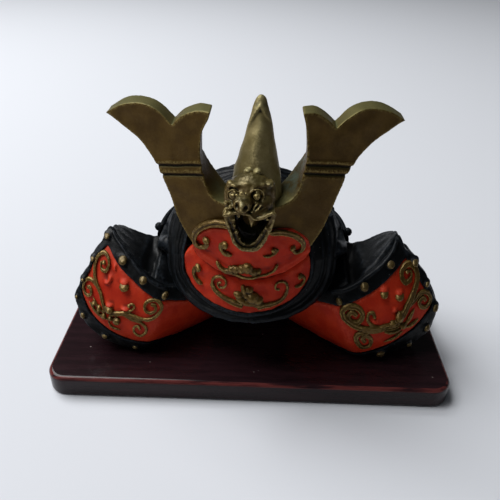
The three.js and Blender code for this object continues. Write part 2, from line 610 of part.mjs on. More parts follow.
function stand() {
  const { width, depth, height, corner, edge } = STAND;
  const [x, y] = [width / 2 - edge, depth / 2 - edge];
  const r = corner - edge;
  const shape = new THREE.Shape();
  shape.moveTo(-x + r, -y);
  shape.absarc(x - r, -y + r, r, -Math.PI / 2, 0);
  shape.absarc(x - r, y - r, r, 0, Math.PI / 2);
  shape.absarc(-x + r, y - r, r, Math.PI / 2, Math.PI);
  shape.absarc(-x + r, -y + r, r, Math.PI, 1.5 * Math.PI);
  const geometry = new THREE.ExtrudeGeometry(shape, {
    depth: height - 2 * edge, curveSegments: 3, bevelThickness: edge, bevelSize: edge, bevelSegments: 1,
  });
  geometry.translate(0, 0, edge);
  return toSolid(geometry);
}

// ---------- assembly ----------

const helmet = new THREE.Group();

function add(name, solid, material) {
  const mesh = new THREE.Mesh(toGeometry(solid), material);
  mesh.name = name;
  helmet.add(mesh);
}

// Adds a right-hand piece and its mirror image on the left.
function addPair(name, solid, material) {
  add(`${name}_right`, solid, material);
  add(`${name}_left`, solid.mirror([1, 0, 0]), material);
}

add('stand', stand(), LACQUER);
add('bowl', bowl(), BLACK);
add('bowl_band', bowlBand(), BLACK);
for (let i = 0; i < LAMES.count; i += 1) add(`neck_lame_${i + 1}`, lame(i), BLACK);
add('visor', visor(), RED);
add('visor_rim', visorRim(), BLACK);
const rightBlade = blade();
const bladePair = rightBlade.add(rightBlade.mirror([1, 0, 0]));
const hornSolid = horn(bladePair);
addPair('blade', rightBlade, GOLD);
add('crest_field', crestField(), RED);
add('horn', hornSolid, GOLD);
add('beast_head', beastHead(hornSolid), GOLD);
addPair('wing', wingBody(), BLACK);
addPair('wing_panel', wingPanel(), RED);
addPair('top_band', topBand(), BLACK);
addPair('edge_band', edgeBand(), BLACK);
addPair('cheek', cheek(), RED);
addPair('wing_vines', wingVines(), BRIGHT_GOLD);
add('crest_curl_right', crestCurl(1), BRIGHT_GOLD);
add('crest_curl_left', crestCurl(-1), BRIGHT_GOLD);
add('crest_comma_right', crestComma(1), BRIGHT_GOLD);
add('crest_comma_left', crestComma(-1), BRIGHT_GOLD);
add('crest_garland', crestGarland(), BRIGHT_GOLD);
add('visor_curl_right', visorCurl(1), BRIGHT_GOLD);
add('visor_curl_left', visorCurl(-1), BRIGHT_GOLD);
add('visor_garland', visorGarland(), BRIGHT_GOLD);

export default helmet;
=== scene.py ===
import math
import bpy
import bmesh
import numpy as np
from mathutils import Matrix, Vector, noise


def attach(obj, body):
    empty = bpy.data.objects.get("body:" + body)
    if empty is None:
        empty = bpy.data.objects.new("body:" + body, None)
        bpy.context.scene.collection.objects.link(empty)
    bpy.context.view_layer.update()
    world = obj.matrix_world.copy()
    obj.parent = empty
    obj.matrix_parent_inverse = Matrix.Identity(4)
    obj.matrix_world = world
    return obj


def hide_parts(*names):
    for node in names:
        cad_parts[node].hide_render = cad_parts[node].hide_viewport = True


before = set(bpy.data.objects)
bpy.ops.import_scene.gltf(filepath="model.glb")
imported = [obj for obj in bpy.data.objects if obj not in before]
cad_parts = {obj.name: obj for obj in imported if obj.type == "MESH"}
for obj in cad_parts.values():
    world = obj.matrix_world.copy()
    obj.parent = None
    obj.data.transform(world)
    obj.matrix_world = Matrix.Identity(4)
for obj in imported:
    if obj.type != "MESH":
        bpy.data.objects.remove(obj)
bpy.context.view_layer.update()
print("frame loaded")

# Pieces are shaped in millimetres and brought to metres when they are finished. +Z is up and -Y is the front.
# Most parts are shaped flat first, as (x, depth, z), and then bent onto the face that they lie on.

toMetres = 0.001

cameraSetup = {"place": (1.6, -118.3, 94.3), "turn": 1.09, "down": 31.76, "roll": 1.11, "lens": 40.32,
               "film": 36}
roomSetup = {
    "floor": "#d6d9df", "floorHalf": 1.5, "wall": "#b4b8bd", "wallStrength": 0.1, "aim": (0, 0, 0.02),
    "lamps": {"key": {"place": (-0.42, 0.16, 0.72), "size": (0.7, 0.6), "power": 10.2},
              "fill": {"place": (-0.35, -0.4, 0.35), "size": (0.4, 0.4), "power": 0.15}},
}


def toLinear(code):
    channels = [int(code[i:i + 2], 16) / 255 for i in (1, 3, 5)]
    return tuple(c / 12.92 if c <= 0.04045 else ((c + 0.055) / 1.055) ** 2.4 for c in channels) + (1,)


# Adds a node with its settings and links, and gives back one of its outputs.
def addNode(tree, kind, links=None, out=0, **settings):
    made = tree.nodes.new(kind)
    for name, value in settings.items():
        setattr(made, name, value)
    for socket, value in (links or {}).items():
        if isinstance(value, bpy.types.NodeSocket):
            tree.links.new(value, made.inputs[socket])
        else:
            made.inputs[socket].default_value = value
    return made.outputs[out]


def makeCamera():
    s = cameraSetup
    turn = Matrix.Rotation(math.radians(s["turn"]), 3, "Z")
    tilt = Matrix.Rotation(math.radians(90 - s["down"]), 3, "X")
    roll = Matrix.Rotation(math.radians(s["roll"]), 3, "Z")
    data = bpy.data.cameras.new("camera")
    data.lens = s["lens"]
    data.sensor_width = s["film"]
    data.clip_start = 0.005
    camera = bpy.data.objects.new("camera", data)
    camera.location = Vector(s["place"]) * toMetres
    camera.rotation_euler = (turn @ tilt @ roll).to_euler()
    bpy.context.scene.collection.objects.link(camera)
    bpy.context.scene.camera = camera


def makeLamp(name, place, size, power):
    data = bpy.data.lights.new(name, "AREA")
    data.shape = "RECTANGLE"
    data.size, data.size_y = size
    data.energy = power
    lamp = bpy.data.objects.new(name, data)
    lamp.location = place
    lamp.rotation_euler = (Vector(roomSetup["aim"]) - Vector(place)).to_track_quat("-Z", "Y").to_euler()
    bpy.context.scene.collection.objects.link(lamp)


def makeRoom():
    bm = bmesh.new()
    bmesh.ops.create_grid(bm, x_segments=1, y_segments=1, size=roomSetup["floorHalf"])
    floor = bpy.data.objects.new("floor", bpy.data.meshes.new("floor"))
    bm.to_mesh(floor.data)
    bm.free()
    material = bpy.data.materials.new("pale paper floor")  # matt, with a soft glow and no reflection
    material.use_nodes = True
    shader = material.node_tree.nodes["Principled BSDF"]
    shader.inputs["Base Color"].default_value = toLinear(roomSetup["floor"])
    shader.inputs["Roughness"].default_value = 0.9
    floor.data.materials.append(material)
    bpy.context.scene.collection.objects.link(floor)
    world = bpy.data.worlds.new("studio")
    world.use_nodes = True
    world.node_tree.nodes["Background"].inputs["Color"].default_value = toLinear(roomSetup["wall"])
    world.node_tree.nodes["Background"].inputs["Strength"].default_value = roomSetup["wallStrength"]
    bpy.context.scene.world = world
    for name, lamp in roomSetup["lamps"].items():
        makeLamp(name, **lamp)


makeCamera()
makeRoom()
bpy.context.scene.view_settings.view_transform = "Standard"
print("camera and room ready")


# Cloudy patches, each so many millimetres across, sharpened between two levels.
def patches(tree, place, size, low, high, detail=4, roughness=0.55):
    clouds = addNode(tree, "ShaderNodeTexNoise", {"Vector": place, "Scale": 1 / (size * toMetres),
                                                  "Detail": detail, "Roughness": roughness})
    return addNode(tree, "ShaderNodeMapRange", {"Value": clouds, "From Min": low, "From Max": high},
                   interpolation_type="SMOOTHSTEP")


# Small dots of lint that lie here and there, in patches.
def lintDots(tree, place, spacing, dot, patch, low, high):
    cells = addNode(tree, "ShaderNodeTexVoronoi", {"Vector": place, "Scale": 1 / (spacing * toMetres),
                                                   "Randomness": 1.0}, "Distance")
    dots = addNode(tree, "ShaderNodeMath", {0: cells, 1: dot}, operation="LESS_THAN")
    return addNode(tree, "ShaderNodeMath", {0: dots, 1: patches(tree, place, patch, low, high, 2)},
                   operation="MULTIPLY")


# Coats of colour laid over each other, each by its mask and strength.
def layCoats(tree, colour, coats):
    for mask, strength, shade in coats:
        amount = addNode(tree, "ShaderNodeMath", {0: mask, 1: strength}, operation="MULTIPLY")
        colour = addNode(tree, "ShaderNodeMix", {0: amount, 6: colour, 7: toLinear(shade)}, 2,
                         data_type="RGBA")
    return colour


# The relief attribute is positive where a point stands out and negative in a hollow, and some pieces add
# painted
# shade and painted highlight to it: it tells where the dark wash and painted shade lie and where the paint is
# rubbed bright and painted with highlights. Levels go from where an effect starts to where it is full.
wear = {"washAndShadeLevels": (-0.08, -0.55), "rubAndHighlightLevels": (0.1, 0.6), "dustAndTopLightLevels": (0.35, 1.0),
        "mottle": (0.35, 0.65), "scuffs": (0.42, 0.6),
        "lint": {"spacing": 1.1, "dot": 0.09, "patch": 3.1, "low": 0.5, "high": 0.7}, "lintColour": "#8f8f8c",
        "patinaAndHighlightSize": 1.3, "patinaAndHighlightLevels": (0.35, 0.6), "patinaAndHighlightColour": "#5d6a5c", "brushDepth": 0.12}


def paintedResin(name, paint):
    material = bpy.data.materials.new(name)
    material.use_nodes = True
    tree = material.node_tree
    shader = tree.nodes["Principled BSDF"]
    place = addNode(tree, "ShaderNodeTexCoord", out="Object")
    relief = addNode(tree, "ShaderNodeAttribute", out="Fac", attribute_name="relief")
    # Patina on the blades and painted highlights on the head come in through this attribute.
    patinaAndHighlight = addNode(tree, "ShaderNodeAttribute", out="Fac", attribute_name="patinaAndHighlight")
    normal = addNode(tree, "ShaderNodeNewGeometry", out="Normal")
    upward = addNode(tree, "ShaderNodeSeparateXYZ", {0: normal}, "Z")
    # Faces turned upwards are painted lighter: dust, and painted light from above.
    washedAndShaded, rubbedAndHighlighted, dustyAndLit = (
        addNode(tree, "ShaderNodeMapRange", {"Value": source, "From Min": low, "From Max": high},
                interpolation_type="SMOOTHSTEP")
        for source, (low, high) in ((relief, wear["washAndShadeLevels"]), (relief, wear["rubAndHighlightLevels"]),
                                    (upward, wear["dustAndTopLightLevels"])))
    scuffs = patches(tree, place, paint["grain"], *wear["scuffs"], 6, 0.7)
    blotches = patches(tree, place, wear["patinaAndHighlightSize"], *wear["patinaAndHighlightLevels"], 5, 0.7)
    scuffedAndHighlighted, stainedAndHighlighted = (addNode(tree, "ShaderNodeMath", {0: mask, 1: broken}, operation="MULTIPLY")
                        for mask, broken in ((rubbedAndHighlighted, scuffs), (patinaAndHighlight, blotches)))
    base = addNode(tree, "ShaderNodeMix", {0: patches(tree, place, paint["patch"], *wear["mottle"]),
                                           6: toLinear(paint["base"]), 7: toLinear(paint["second"])},
                   2, data_type="RGBA")
    # Hollows get dark wash with painted shade, high points rubbed paint with painted highlights.
    colour = layCoats(tree, base, [
        (washedAndShaded, paint["washAndShadeAmount"], paint["washAndShade"]), (scuffedAndHighlighted, paint["rubAndHighlightAmount"], paint["rubAndHighlight"]),
        (dustyAndLit, paint["dustAndTopLightAmount"], paint["dustAndTopLight"]),
        (lintDots(tree, place, **wear["lint"]), paint["speckAmount"], wear["lintColour"]),
        (stainedAndHighlighted, 1.0, wear["patinaAndHighlightColour"])])
    tree.links.new(colour, shader.inputs["Base Color"])
    low, high = paint["roughness"]
    gloss = addNode(tree, "ShaderNodeMapRange", {"Value": scuffs, "To Min": low, "To Max": high})
    tree.links.new(gloss, shader.inputs["Roughness"])
    shader.inputs["Metallic"].default_value = paint["metallic"]
    shader.inputs["IOR"].default_value = 1.5
    shader.inputs["Specular IOR Level"].default_value = paint["gloss"]
    brush = addNode(tree, "ShaderNodeTexNoise", {"Vector": place, "Scale": 1 / (paint["brush"] * toMetres),
                                                 "Detail": 5, "Roughness": 0.6})
    bump = addNode(tree, "ShaderNodeBump", {"Height": brush, "Strength": paint["bump"],
                                            "Distance": wear["brushDepth"] * toMetres})
    tree.links.new(bump, shader.inputs["Normal"])
    return material


# Sizes are in millimetres: patch is the mottling, grain the scuffs and brush the brush marks.
goldPaint = {"base": "#483411", "second": "#574119", "washAndShade": "#0d0703", "washAndShadeAmount": 0.9,
             "rubAndHighlight": "#8f7c46", "rubAndHighlightAmount": 0.7, "dustAndTopLight": "#6a6c44", "dustAndTopLightAmount": 0.6, "speckAmount": 0.1,
             "patch": 4.0, "grain": 0.45, "brush": 0.35, "bump": 0.4, "roughness": (0.42, 0.6),
             "metallic": 0.45, "gloss": 0.2}
# The horn's gold is a lighter copy, painted as if lit from above, with some dust.
hornPaint = {**goldPaint, "base": "#75683f", "second": "#877a52", "rubAndHighlight": "#b0a272", "dustAndTopLight": "#8d8963"}
# The head's high points are brighter: rubbed paint with painted highlights.
headPaint = {**goldPaint, "base": "#4a3817", "second": "#5c4820", "rubAndHighlight": "#b5a066", "rubAndHighlightAmount": 0.9,
             "washAndShadeAmount": 0.97, "dustAndTopLightAmount": 0.3, "roughness": (0.3, 0.45), "gloss": 0.4}
reliefPaint = {**goldPaint, "base": "#503912", "second": "#62491c", "rubAndHighlight": "#b39651", "rubAndHighlightAmount": 0.75,
               "washAndShadeAmount": 0.97, "dustAndTopLightAmount": 0.1, "roughness": (0.3, 0.46), "metallic": 0.5, "gloss": 0.4}
studPaint = {**reliefPaint, "base": "#46351a", "second": "#554323", "rubAndHighlight": "#8d7848"}
redPaint = {"base": "#ac250e", "second": "#bd3215", "washAndShade": "#4a0802", "washAndShadeAmount": 0.9,
            "rubAndHighlight": "#cc5238", "rubAndHighlightAmount": 0.5, "dustAndTopLight": "#bf4228", "dustAndTopLightAmount": 0.3, "speckAmount": 0.1,
            "patch": 3.2, "grain": 0.5, "brush": 0.45, "bump": 0.4, "roughness": (0.45, 0.65),
            "metallic": 0.0, "gloss": 0.15}
blackPaint = {"base": "#030405", "second": "#06080a", "washAndShade": "#010101", "washAndShadeAmount": 0.7,
              "rubAndHighlight": "#252c34", "rubAndHighlightAmount": 0.6, "dustAndTopLight": "#0a0d10", "dustAndTopLightAmount": 0.4, "speckAmount": 0.6,
              "patch": 3.0, "grain": 0.6, "brush": 0.4, "bump": 0.45, "roughness": (0.36, 0.56),
              "metallic": 0.0, "gloss": 0.15}
lacquer = {"base": "#1c1013", "second": "#28171b", "edge": "#7a3a36", "edgeLevels": (0.25, 0.7),
           "edgeAmount": 0.6, "lint": {"spacing": 3.2, "dot": 0.055, "patch": 9, "low": 0.45, "high": 0.65},
           "lintColour": "#b9aca6", "lintAmount": 0.35, "stretch": 0.12, "grain": 1.6, "wear": 1.1,
           "haze": 14, "roughness": (0.12, 0.22), "gloss": 0.2, "coat": 0.06, "coatRoughness": 0.1,
           "swell": 7, "swellDepth": 0.4, "bump": 0.12}


def lacqueredWood(name):
    material = bpy.data.materials.new(name)
    material.use_nodes = True
    tree = material.node_tree
    shader = tree.nodes["Principled BSDF"]
    place = addNode(tree, "ShaderNodeTexCoord", out="Object")
    along = addNode(tree, "ShaderNodeMapping", {"Vector": place, "Scale": (lacquer["stretch"], 1, 1)})
    relief = addNode(tree, "ShaderNodeAttribute", out="Fac", attribute_name="relief")
    low, high = lacquer["edgeLevels"]
    edges = addNode(tree, "ShaderNodeMapRange", {"Value": relief, "From Min": low, "From Max": high},
                    interpolation_type="SMOOTHSTEP")
    worn = addNode(tree, "ShaderNodeMath", {0: edges, 1: patches(tree, along, lacquer["wear"], 0.35, 0.6)},
                   operation="MULTIPLY")
    base = addNode(tree, "ShaderNodeMix", {0: patches(tree, along, lacquer["grain"], 0.3, 0.7, 6, 0.65),
                                           6: toLinear(lacquer["base"]), 7: toLinear(lacquer["second"])},
                   2, data_type="RGBA")
    lint = lintDots(tree, place, **lacquer["lint"])
    colour = layCoats(tree, base, [(worn, lacquer["edgeAmount"], lacquer["edge"]),
                                   (lint, lacquer["lintAmount"], lacquer["lintColour"])])
    tree.links.new(colour, shader.inputs["Base Color"])
    clouds, swell = (
        addNode(tree, "ShaderNodeTexNoise", {"Vector": place, "Scale": 1 / (lacquer[size] * toMetres),
                                             "Detail": detail, "Roughness": 0.55})
        for size, detail in (("haze", 5), ("swell", 3)))
    low, high = lacquer["roughness"]
    haze = addNode(tree, "ShaderNodeMapRange", {"Value": clouds, "To Min": low, "To Max": high})
    tree.links.new(haze, shader.inputs["Roughness"])
    shader.inputs["IOR"].default_value = 1.5
    shader.inputs["Specular IOR Level"].default_value = lacquer["gloss"]
    shader.inputs["Coat Weight"].default_value = lacquer["coat"]
    shader.inputs["Coat Roughness"].default_value = lacquer["coatRoughness"]
    bump = addNode(tree, "ShaderNodeBump", {"Height": swell, "Strength": lacquer["bump"],
                                            "Distance": lacquer["swellDepth"] * toMetres})
    tree.links.new(bump, shader.inputs["Normal"])
    return material


materials = {
    # dull metal, with wash and painted shade in the grooves and rubbed paint and painted highlights on edges
    "gold": paintedResin("antique gold paint on cast resin", goldPaint),
    # a lighter, greyer copy of the gold: painted light from above, with some dust
    "horn": paintedResin("greyish gold paint with painted light on the horn", hornPaint),
    # almost brown, with bright high points of rubbed paint and painted highlights that pick the face out
    "head": paintedResin("dark bronze paint rubbed bright on the head", headPaint),
    # brighter and shinier than the blades, with dark lines of wash and painted shade between the ridges
    "relief": paintedResin("bright gold paint on raised resin", reliefPaint),
    # small soft glints on the black borders
    "stud": paintedResin("dull gold paint on cast studs", studPaint),
    # a flat warm red, deeper beside the relief with wash and painted shade
    "red": paintedResin("matte vermilion paint on cast resin", redPaint),
    # near black, with lint, and a faint blue bloom on the ridges that is rubbed paint and painted sheen
    "black": paintedResin("satin black paint on cast resin", blackPaint),
    # a still, dark gloss, worn red at the edges
    "lacquer": lacqueredWood("dark mahogany lacquer on wood"),
}
print("materials ready")


# The faces that pieces follow: each gives y for an x and a z.
def crestFace(x, z):
    return -23.5 + 0.42 * np.hypot(x, 2) + 0.1 * (z - 38)


def tierFace(x, z):
    return crestFace(x, z) - 0.9 + 0.12 * np.maximum(0, 36 - z)


def visorFace(x, z):
    return -23.9 + 0.22 * (z - 20) + 0.0255 * x * x


def rimFace(x, z):
    return visorFace(x, z) + 0.35 * np.maximum(0, z - 29) ** 1.3


def wingFace(x, z):
    bulge = -22 + 0.03 * np.maximum(0, z - 10) ** 2 + 0.04 * np.maximum(0, 12 - z) ** 2
    crease = 19.4 + 0.4 * np.maximum(0, 18 - z)
    inward = crease - np.abs(x)
    turned = 0.5 * (inward + np.hypot(inward, 1.2))  # the fold to the cheek is a soft one
    outward = np.maximum(np.abs(x), crease) - 22
    return bulge + 0.015 * outward ** 2 + 0.85 * turned


# Lays the flat (x, depth, z) on a face, on the right or mirrored to the left.
def onFace(face, side=1):
    return lambda x, d, z: (side * x, face(x, z) + d, z)


# Evenly spaced points on a smooth line through the given ones.
def smoothLine(points, step=0.5):
    knots = np.array([points[0], *points, points[-1]], float)
    t = np.linspace(0, 1, 24, endpoint=False)[:, None]
    spans = [
        (2 * t ** 3 - 3 * t ** 2 + 1) * b + (t ** 3 - 2 * t ** 2 + t) * (c - a) / 2
        + (3 * t ** 2 - 2 * t ** 3) * c + (t ** 3 - t ** 2) * (d - b) / 2
        for a, b, c, d in zip(knots, knots[1:], knots[2:], knots[3:])]
    dense = np.concatenate([*spans, knots[-1:]])
    lengths = np.concatenate([[0], np.cumsum(np.linalg.norm(np.diff(dense[:, :2], axis=0), axis=1))])
    even = np.linspace(0, lengths[-1], max(2, int(lengths[-1] / step) + 1))
    return np.stack([np.interp(even, lengths, column) for column in dense.T], axis=1)


# A flat plate cut to an outline of (x, z).
def plate(bm, outline, front, back):
    face = bm.faces.new([bm.verts.new((x, front, z)) for x, z in outline])
    made = bmesh.ops.extrude_face_region(bm, geom=[face])
    moved = [v for v in made["geom"] if isinstance(v, bmesh.types.BMVert)]
    bmesh.ops.translate(bm, verts=moved, vec=(0, back - front, 0))


# A rounded lump, from its centre and half sizes.
def lump(bm, at, size, detail=2):
    place = Matrix.Translation(at) @ Matrix.Diagonal((*size, 1))
    bmesh.ops.create_icosphere(bm, subdivisions=detail, radius=1, matrix=place)


# How much a small round shape is drawn out by a face's slope at a point.
def faceFit(face, x, z):
    across = float(face(x + 0.1, z) - face(x - 0.1, z)) / 0.2
    up = float(face(x, z + 0.1) - face(x, z - 0.1)) / 0.2
    return 1 / math.hypot(1, across), math.sqrt(1 + across ** 2 + up ** 2), 1 / math.hypot(1, up)


# A lump of given half sizes (across, proud, up) on a face.
def boss(bm, face, at, size, lift=0.0, turn=0.0, detail=2):
    fit = faceFit(face, *at)
    place = Matrix.Translation((at[0], -lift * fit[1], at[1])) @ Matrix.Diagonal((*fit, 1))
    place = place @ Matrix.Rotation(turn, 4, "Y") @ Matrix.Diagonal((*size, 1))
    bmesh.ops.create_icosphere(bm, subdivisions=detail, radius=1, matrix=place)


# A raised line laid bead by bead on a face, with ridges along it and a ball at its end.
def stroke(bm, face, points, width, ridges=1, height=1.0, start=0.55, end=0.7, ball=0, leaf=False):
    lift, beadStep = 0.1, 0.2
    line = smoothLine(points, beadStep)
    ahead = np.gradient(line, axis=0)
    ahead /= np.linalg.norm(ahead, axis=1)[:, None] + 1e-9
    for i, (x, z) in enumerate(line):
        t = i / (len(line) - 1)
        swell = min(1, start + 4 * t) * (1 + (end - 1) * t)
        if leaf:
            swell = math.sin(math.pi * (0.12 + 0.83 * t)) ** 0.8
        r = width / 2 * swell
        if ridges == 1:
            boss(bm, face, (x, z), (r, r * height, r), lift, detail=1)
            continue
        thin = r / ridges * 1.12
        for k in range(ridges):
            off = (r - thin * 0.9) * (2 * k / (ridges - 1) - 1)
            at = (x - off * ahead[i][1], z + off * ahead[i][0])
            boss(bm, face, at, (thin, r * height, thin), lift, detail=1)
        boss(bm, face, (x, z), (r * 0.8, r * height * 0.62, r * 0.8), lift, detail=1)
    if ball:
        boss(bm, face, tuple(line[-1]), (ball, ball, ball), lift + 0.15)


def mesh(bm):
    made = bpy.data.meshes.new("clay")
    bmesh.ops.recalc_face_normals(bm, faces=bm.faces)
    bm.to_mesh(made)
    bm.free()
    return made


# A mesh taken up again, to have more added to it.
def reopened(data):
    bm = bmesh.new()
    bm.from_mesh(data)
    bpy.data.meshes.remove(data)
    return bm


# The mesh that a source becomes under some modifiers, each a kind with its settings.
def shaped(source, *modifiers):
    clay = bpy.data.objects.new("clay", source)
    bpy.context.scene.collection.objects.link(clay)
    for kind, settings in modifiers:
        made = clay.modifiers.new(kind, kind)
        for name, value in settings.items():
            setattr(made, name, value)
    depsgraph = bpy.context.evaluated_depsgraph_get()
    result = bpy.data.meshes.new_from_object(clay.evaluated_get(depsgraph))
    bpy.data.objects.remove(clay)
    bpy.data.meshes.remove(source)
    return result


# Parts merged into one skin with soft edges, as a mould gives.
def cast(bm, voxel, soften):
    return shaped(mesh(bm), ("REMESH", {"mode": "VOXEL", "voxel_size": voxel}),
                  ("SMOOTH", {"factor": 0.5, "iterations": soften}))


# The source with another shape cut out of it.
def cutBy(source, bm):
    tool = bpy.data.objects.new("cutter", mesh(bm))
    bpy.context.scene.collection.objects.link(tool)
    result = shaped(source, ("BOOLEAN", {"operation": "DIFFERENCE", "solver": "EXACT", "object": tool}))
    bpy.data.objects.remove(tool)
    return result


def points(data):
    flat = np.empty(len(data.vertices) * 3)
    data.vertices.foreach_get("co", flat)
    return flat.reshape(-1, 3)


def setPoints(data, at):
    data.vertices.foreach_set("co", np.ascontiguousarray(at, float).ravel())
    data.update()


def pointNormals(data):
    flat = np.empty(len(data.vertices) * 3)
    data.vertices.foreach_get("normal", flat)
    return flat.reshape(-1, 3)


def setAttribute(data, name, values):
    layer = data.attributes.new(name, "FLOAT", "POINT")
    layer.data.foreach_set("value", np.asarray(values, np.float32))


# A smooth hump, 1 high where the value is 0 and about as wide as the size to each side.
def hump(value, size):
    return np.exp(-(value / size) ** 2)


# A straight rise from 0 to 1, from a start and over a length.
def rise(value, start, length):
    return np.clip((value - start) / length, 0, 1)


# A flat mesh laid on its curved face; a mirrored one gets its faces turned back.
def bent(data, place, mirrored=False):
    at = points(data)
    x, y, z = place(at[:, 0], at[:, 1], at[:, 2])
    setPoints(data, np.stack([x, y, z], axis=1))
    if mirrored:
        data.flip_normals()
    return data


# Small swellings, as a hand-finished cast has. Blender's noise differs a little each time that it starts.
def handMade(data, amount, size, seed=0.0):
    at = points(data)
    shift = Vector((seed, 2 * seed, 3 * seed))
    moves = [noise.noise_vector(Vector(p) / size + shift) for p in at]
    setPoints(data, at + amount * np.array(moves))
    return data


# How far each point stands out of, or lies below, the surface round it.
def addRelief(data, shade, rounds=30, reach=0.22):
    at = points(data)
    ends = np.empty(len(data.edges) * 2, int)
    data.edges.foreach_get("vertices", ends)
    a, b = ends.reshape(-1, 2).T
    count = np.bincount(ends, minlength=len(at)).astype(float)[:, None]
    smooth = at.copy()
    for _ in range(rounds):
        total = np.stack([np.bincount(a, column[b], len(at)) + np.bincount(b, column[a], len(at))
                          for column in smooth.T], axis=1)
        smooth = 0.5 * smooth + 0.5 * total / np.maximum(count, 1)
    height = np.einsum("ij,ij->i", at - smooth, pointNormals(data)) / reach
    setAttribute(data, "relief", height + shade)


# A mesh in millimetres made a finished piece. Shade darkens or brightens it, where it isn't 0.
# Shade is painted shade where it is below 0 and painted highlight above 0, added to the relief attribute.
def finishPiece(name, data, paint, nodes=(), shade=0, patinaAndHighlight=()):
    if "relief" not in data.attributes:
        addRelief(data, shade)
    if patinaAndHighlight:
        at = points(data)
        spots = [strength * hump(np.linalg.norm(at - place, axis=1), size)
                 for place, size, strength in patinaAndHighlight]
        setAttribute(data, "patinaAndHighlight", sum(spots))
    data.transform(Matrix.Scale(toMetres, 4))
    data.shade_smooth()
    data.materials.clear()
    data.materials.append(materials[paint])
    piece = bpy.data.objects.new(name, data)
    bpy.context.scene.collection.objects.link(piece)
    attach(piece, "root")
    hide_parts(*nodes)
    return piece


# A merged copy of a CAD node, in millimetres.
def fromNode(node):
    bm = bmesh.new()
    bm.from_mesh(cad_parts[node].data)
    bmesh.ops.scale(bm, vec=[1 / toMetres] * 3, verts=bm.verts)
    bmesh.ops.remove_doubles(bm, verts=bm.verts, dist=0.002)
    return bm


# A profile of (radius, 0, z) spun a full turn.
def spun(profile, steps, closed=False):
    bm = bmesh.new()
    line = [bm.verts.new(p) for p in profile]
    after = line[1:] + line[:1] if closed else line[1:]
    edges = [bm.edges.new(pair) for pair in zip(line, after)]
    bmesh.ops.spin(bm, geom=[*line, *edges], cent=(0, 0, 0), axis=(0, 0, 1), angle=2 * math.pi, steps=steps,
                   use_merge=True)
    bmesh.ops.remove_doubles(bm, verts=bm.verts, dist=0.001)
    return bm


standSize = {"width": 90, "depth": 60, "height": 5.1, "corner": 4.5, "topEdge": 1.0, "bottomEdge": 0.7}


def makeStand():
    s = standSize
    bm = bmesh.new()
    bmesh.ops.create_cube(bm, size=1, matrix=Matrix.Translation((0, 0, s["height"] / 2))
                          @ Matrix.Diagonal((s["width"], s["depth"], s["height"], 1)))
    upright = [e for e in bm.edges if abs(e.verts[0].co.z - e.verts[1].co.z) > 1]
    bmesh.ops.bevel(bm, geom=upright, offset=s["corner"], offset_type="OFFSET", affect="EDGES", segments=12,
                    profile=0.5, material=-1)
    for level, size, segments in ((s["height"], s["topEdge"], 8), (0, s["bottomEdge"], 4)):
        ring = [e for e in bm.edges if all(abs(v.co.z - level) < 0.01 for v in e.verts)]
        bmesh.ops.bevel(bm, geom=ring, offset=size, offset_type="OFFSET", affect="EDGES", segments=segments,
                        profile=0.5, material=-1)
    data = mesh(bm)
    data.update()
    up = pointNormals(data)[:, 2]
    setAttribute(data, "relief", (up > 0.3) & (up < 0.95))  # the lacquer is worn along the top edge
    piece = finishPiece("stand_block", data, "lacquer", ["stand"])
    modifier = piece.modifiers.new("weighted", "WEIGHTED_NORMAL")
    modifier.keep_sharp = False


makeStand()
print("stand ready")

bowlSize = {"radius": 22.7, "middle": (0, 0.5, 19.65), "wall": 2, "base": 24.5,
            "lip": [(0.6, 0.35), (1.4, 0.3)], "ribs": 18, "ribHeight": 0.45, "ribSharpness": 9, "ribFade": 8,
            "frontGap": {"middle": (0, -24, 25.4), "size": (36, 32, 11.8)}}


def makeBowl():
    s = bowlSize
    outer, inner = s["radius"], s["radius"] - s["wall"]
    base = s["base"] - s["middle"][2]
    arc = lambda r, a: (r * math.cos(a), 0, r * math.sin(a))
    profile = [arc(outer, a) for a in np.linspace(math.pi / 2, math.asin(base / outer), 40)]
    edge = profile[-1][0]
    profile += [(edge - inward, 0, base - drop) for inward, drop in s["lip"]]
    profile += [arc(inner, a) for a in np.linspace(math.asin(base / inner), math.pi / 2, 24)]
    bm = spun(profile, 216)
    for v in bm.verts:  # raised ribs run from the crown to the edge
        across = math.hypot(v.co.x, v.co.y)
        if v.co.length > outer - 0.1 and across > 0.5:
            turn = math.atan2(v.co.y, v.co.x) * s["ribs"] / (2 * math.pi)
            peak = math.exp(-((turn - round(turn)) * s["ribSharpness"]) ** 2)
            v.co *= 1 + s["ribHeight"] * (peak - 1) * min(1, across / s["ribFade"]) / outer
    bmesh.ops.translate(bm, verts=bm.verts, vec=s["middle"])
    cutter = bmesh.new()
    bmesh.ops.create_cube(cutter, size=1, matrix=Matrix.Translation(s["frontGap"]["middle"])
                          @ Matrix.Diagonal((*s["frontGap"]["size"], 1)))
    finishPiece("ribbed_bowl", cutBy(mesh(bm), cutter), "black", ["bowl"])


# A ring spun from a closed profile of (radius, 0, z), cut off flat at its two front ends.
def openRing(name, profile, front, nodes, squeeze=1.0, studs=(), studSize=()):
    bm = spun(profile, 160, closed=True)
    bmesh.ops.scale(bm, vec=(1, squeeze, 1), verts=bm.verts)
    bmesh.ops.translate(bm, verts=bm.verts, vec=(0, bowlSize["middle"][1], 0))
    geom = [*bm.verts, *bm.edges, *bm.faces]
    bmesh.ops.bisect_plane(bm, geom=geom, plane_co=(0, front, 0), plane_no=(0, -1, 0), clear_outer=True)
    bmesh.ops.holes_fill(bm, edges=[e for e in bm.edges if e.is_boundary])
    for at in studs:
        lump(bm, at, studSize)
    finishPiece(name, mesh(bm), "black", nodes)


neckGuardSize = {"count": 4, "top": 24.2, "floor": 5.4, "radius": 22.4, "flare": 4, "overlap": 1, "wall": 1.5,
                 "gap": 0.3, "front": 1.6, "squeeze": 0.92}


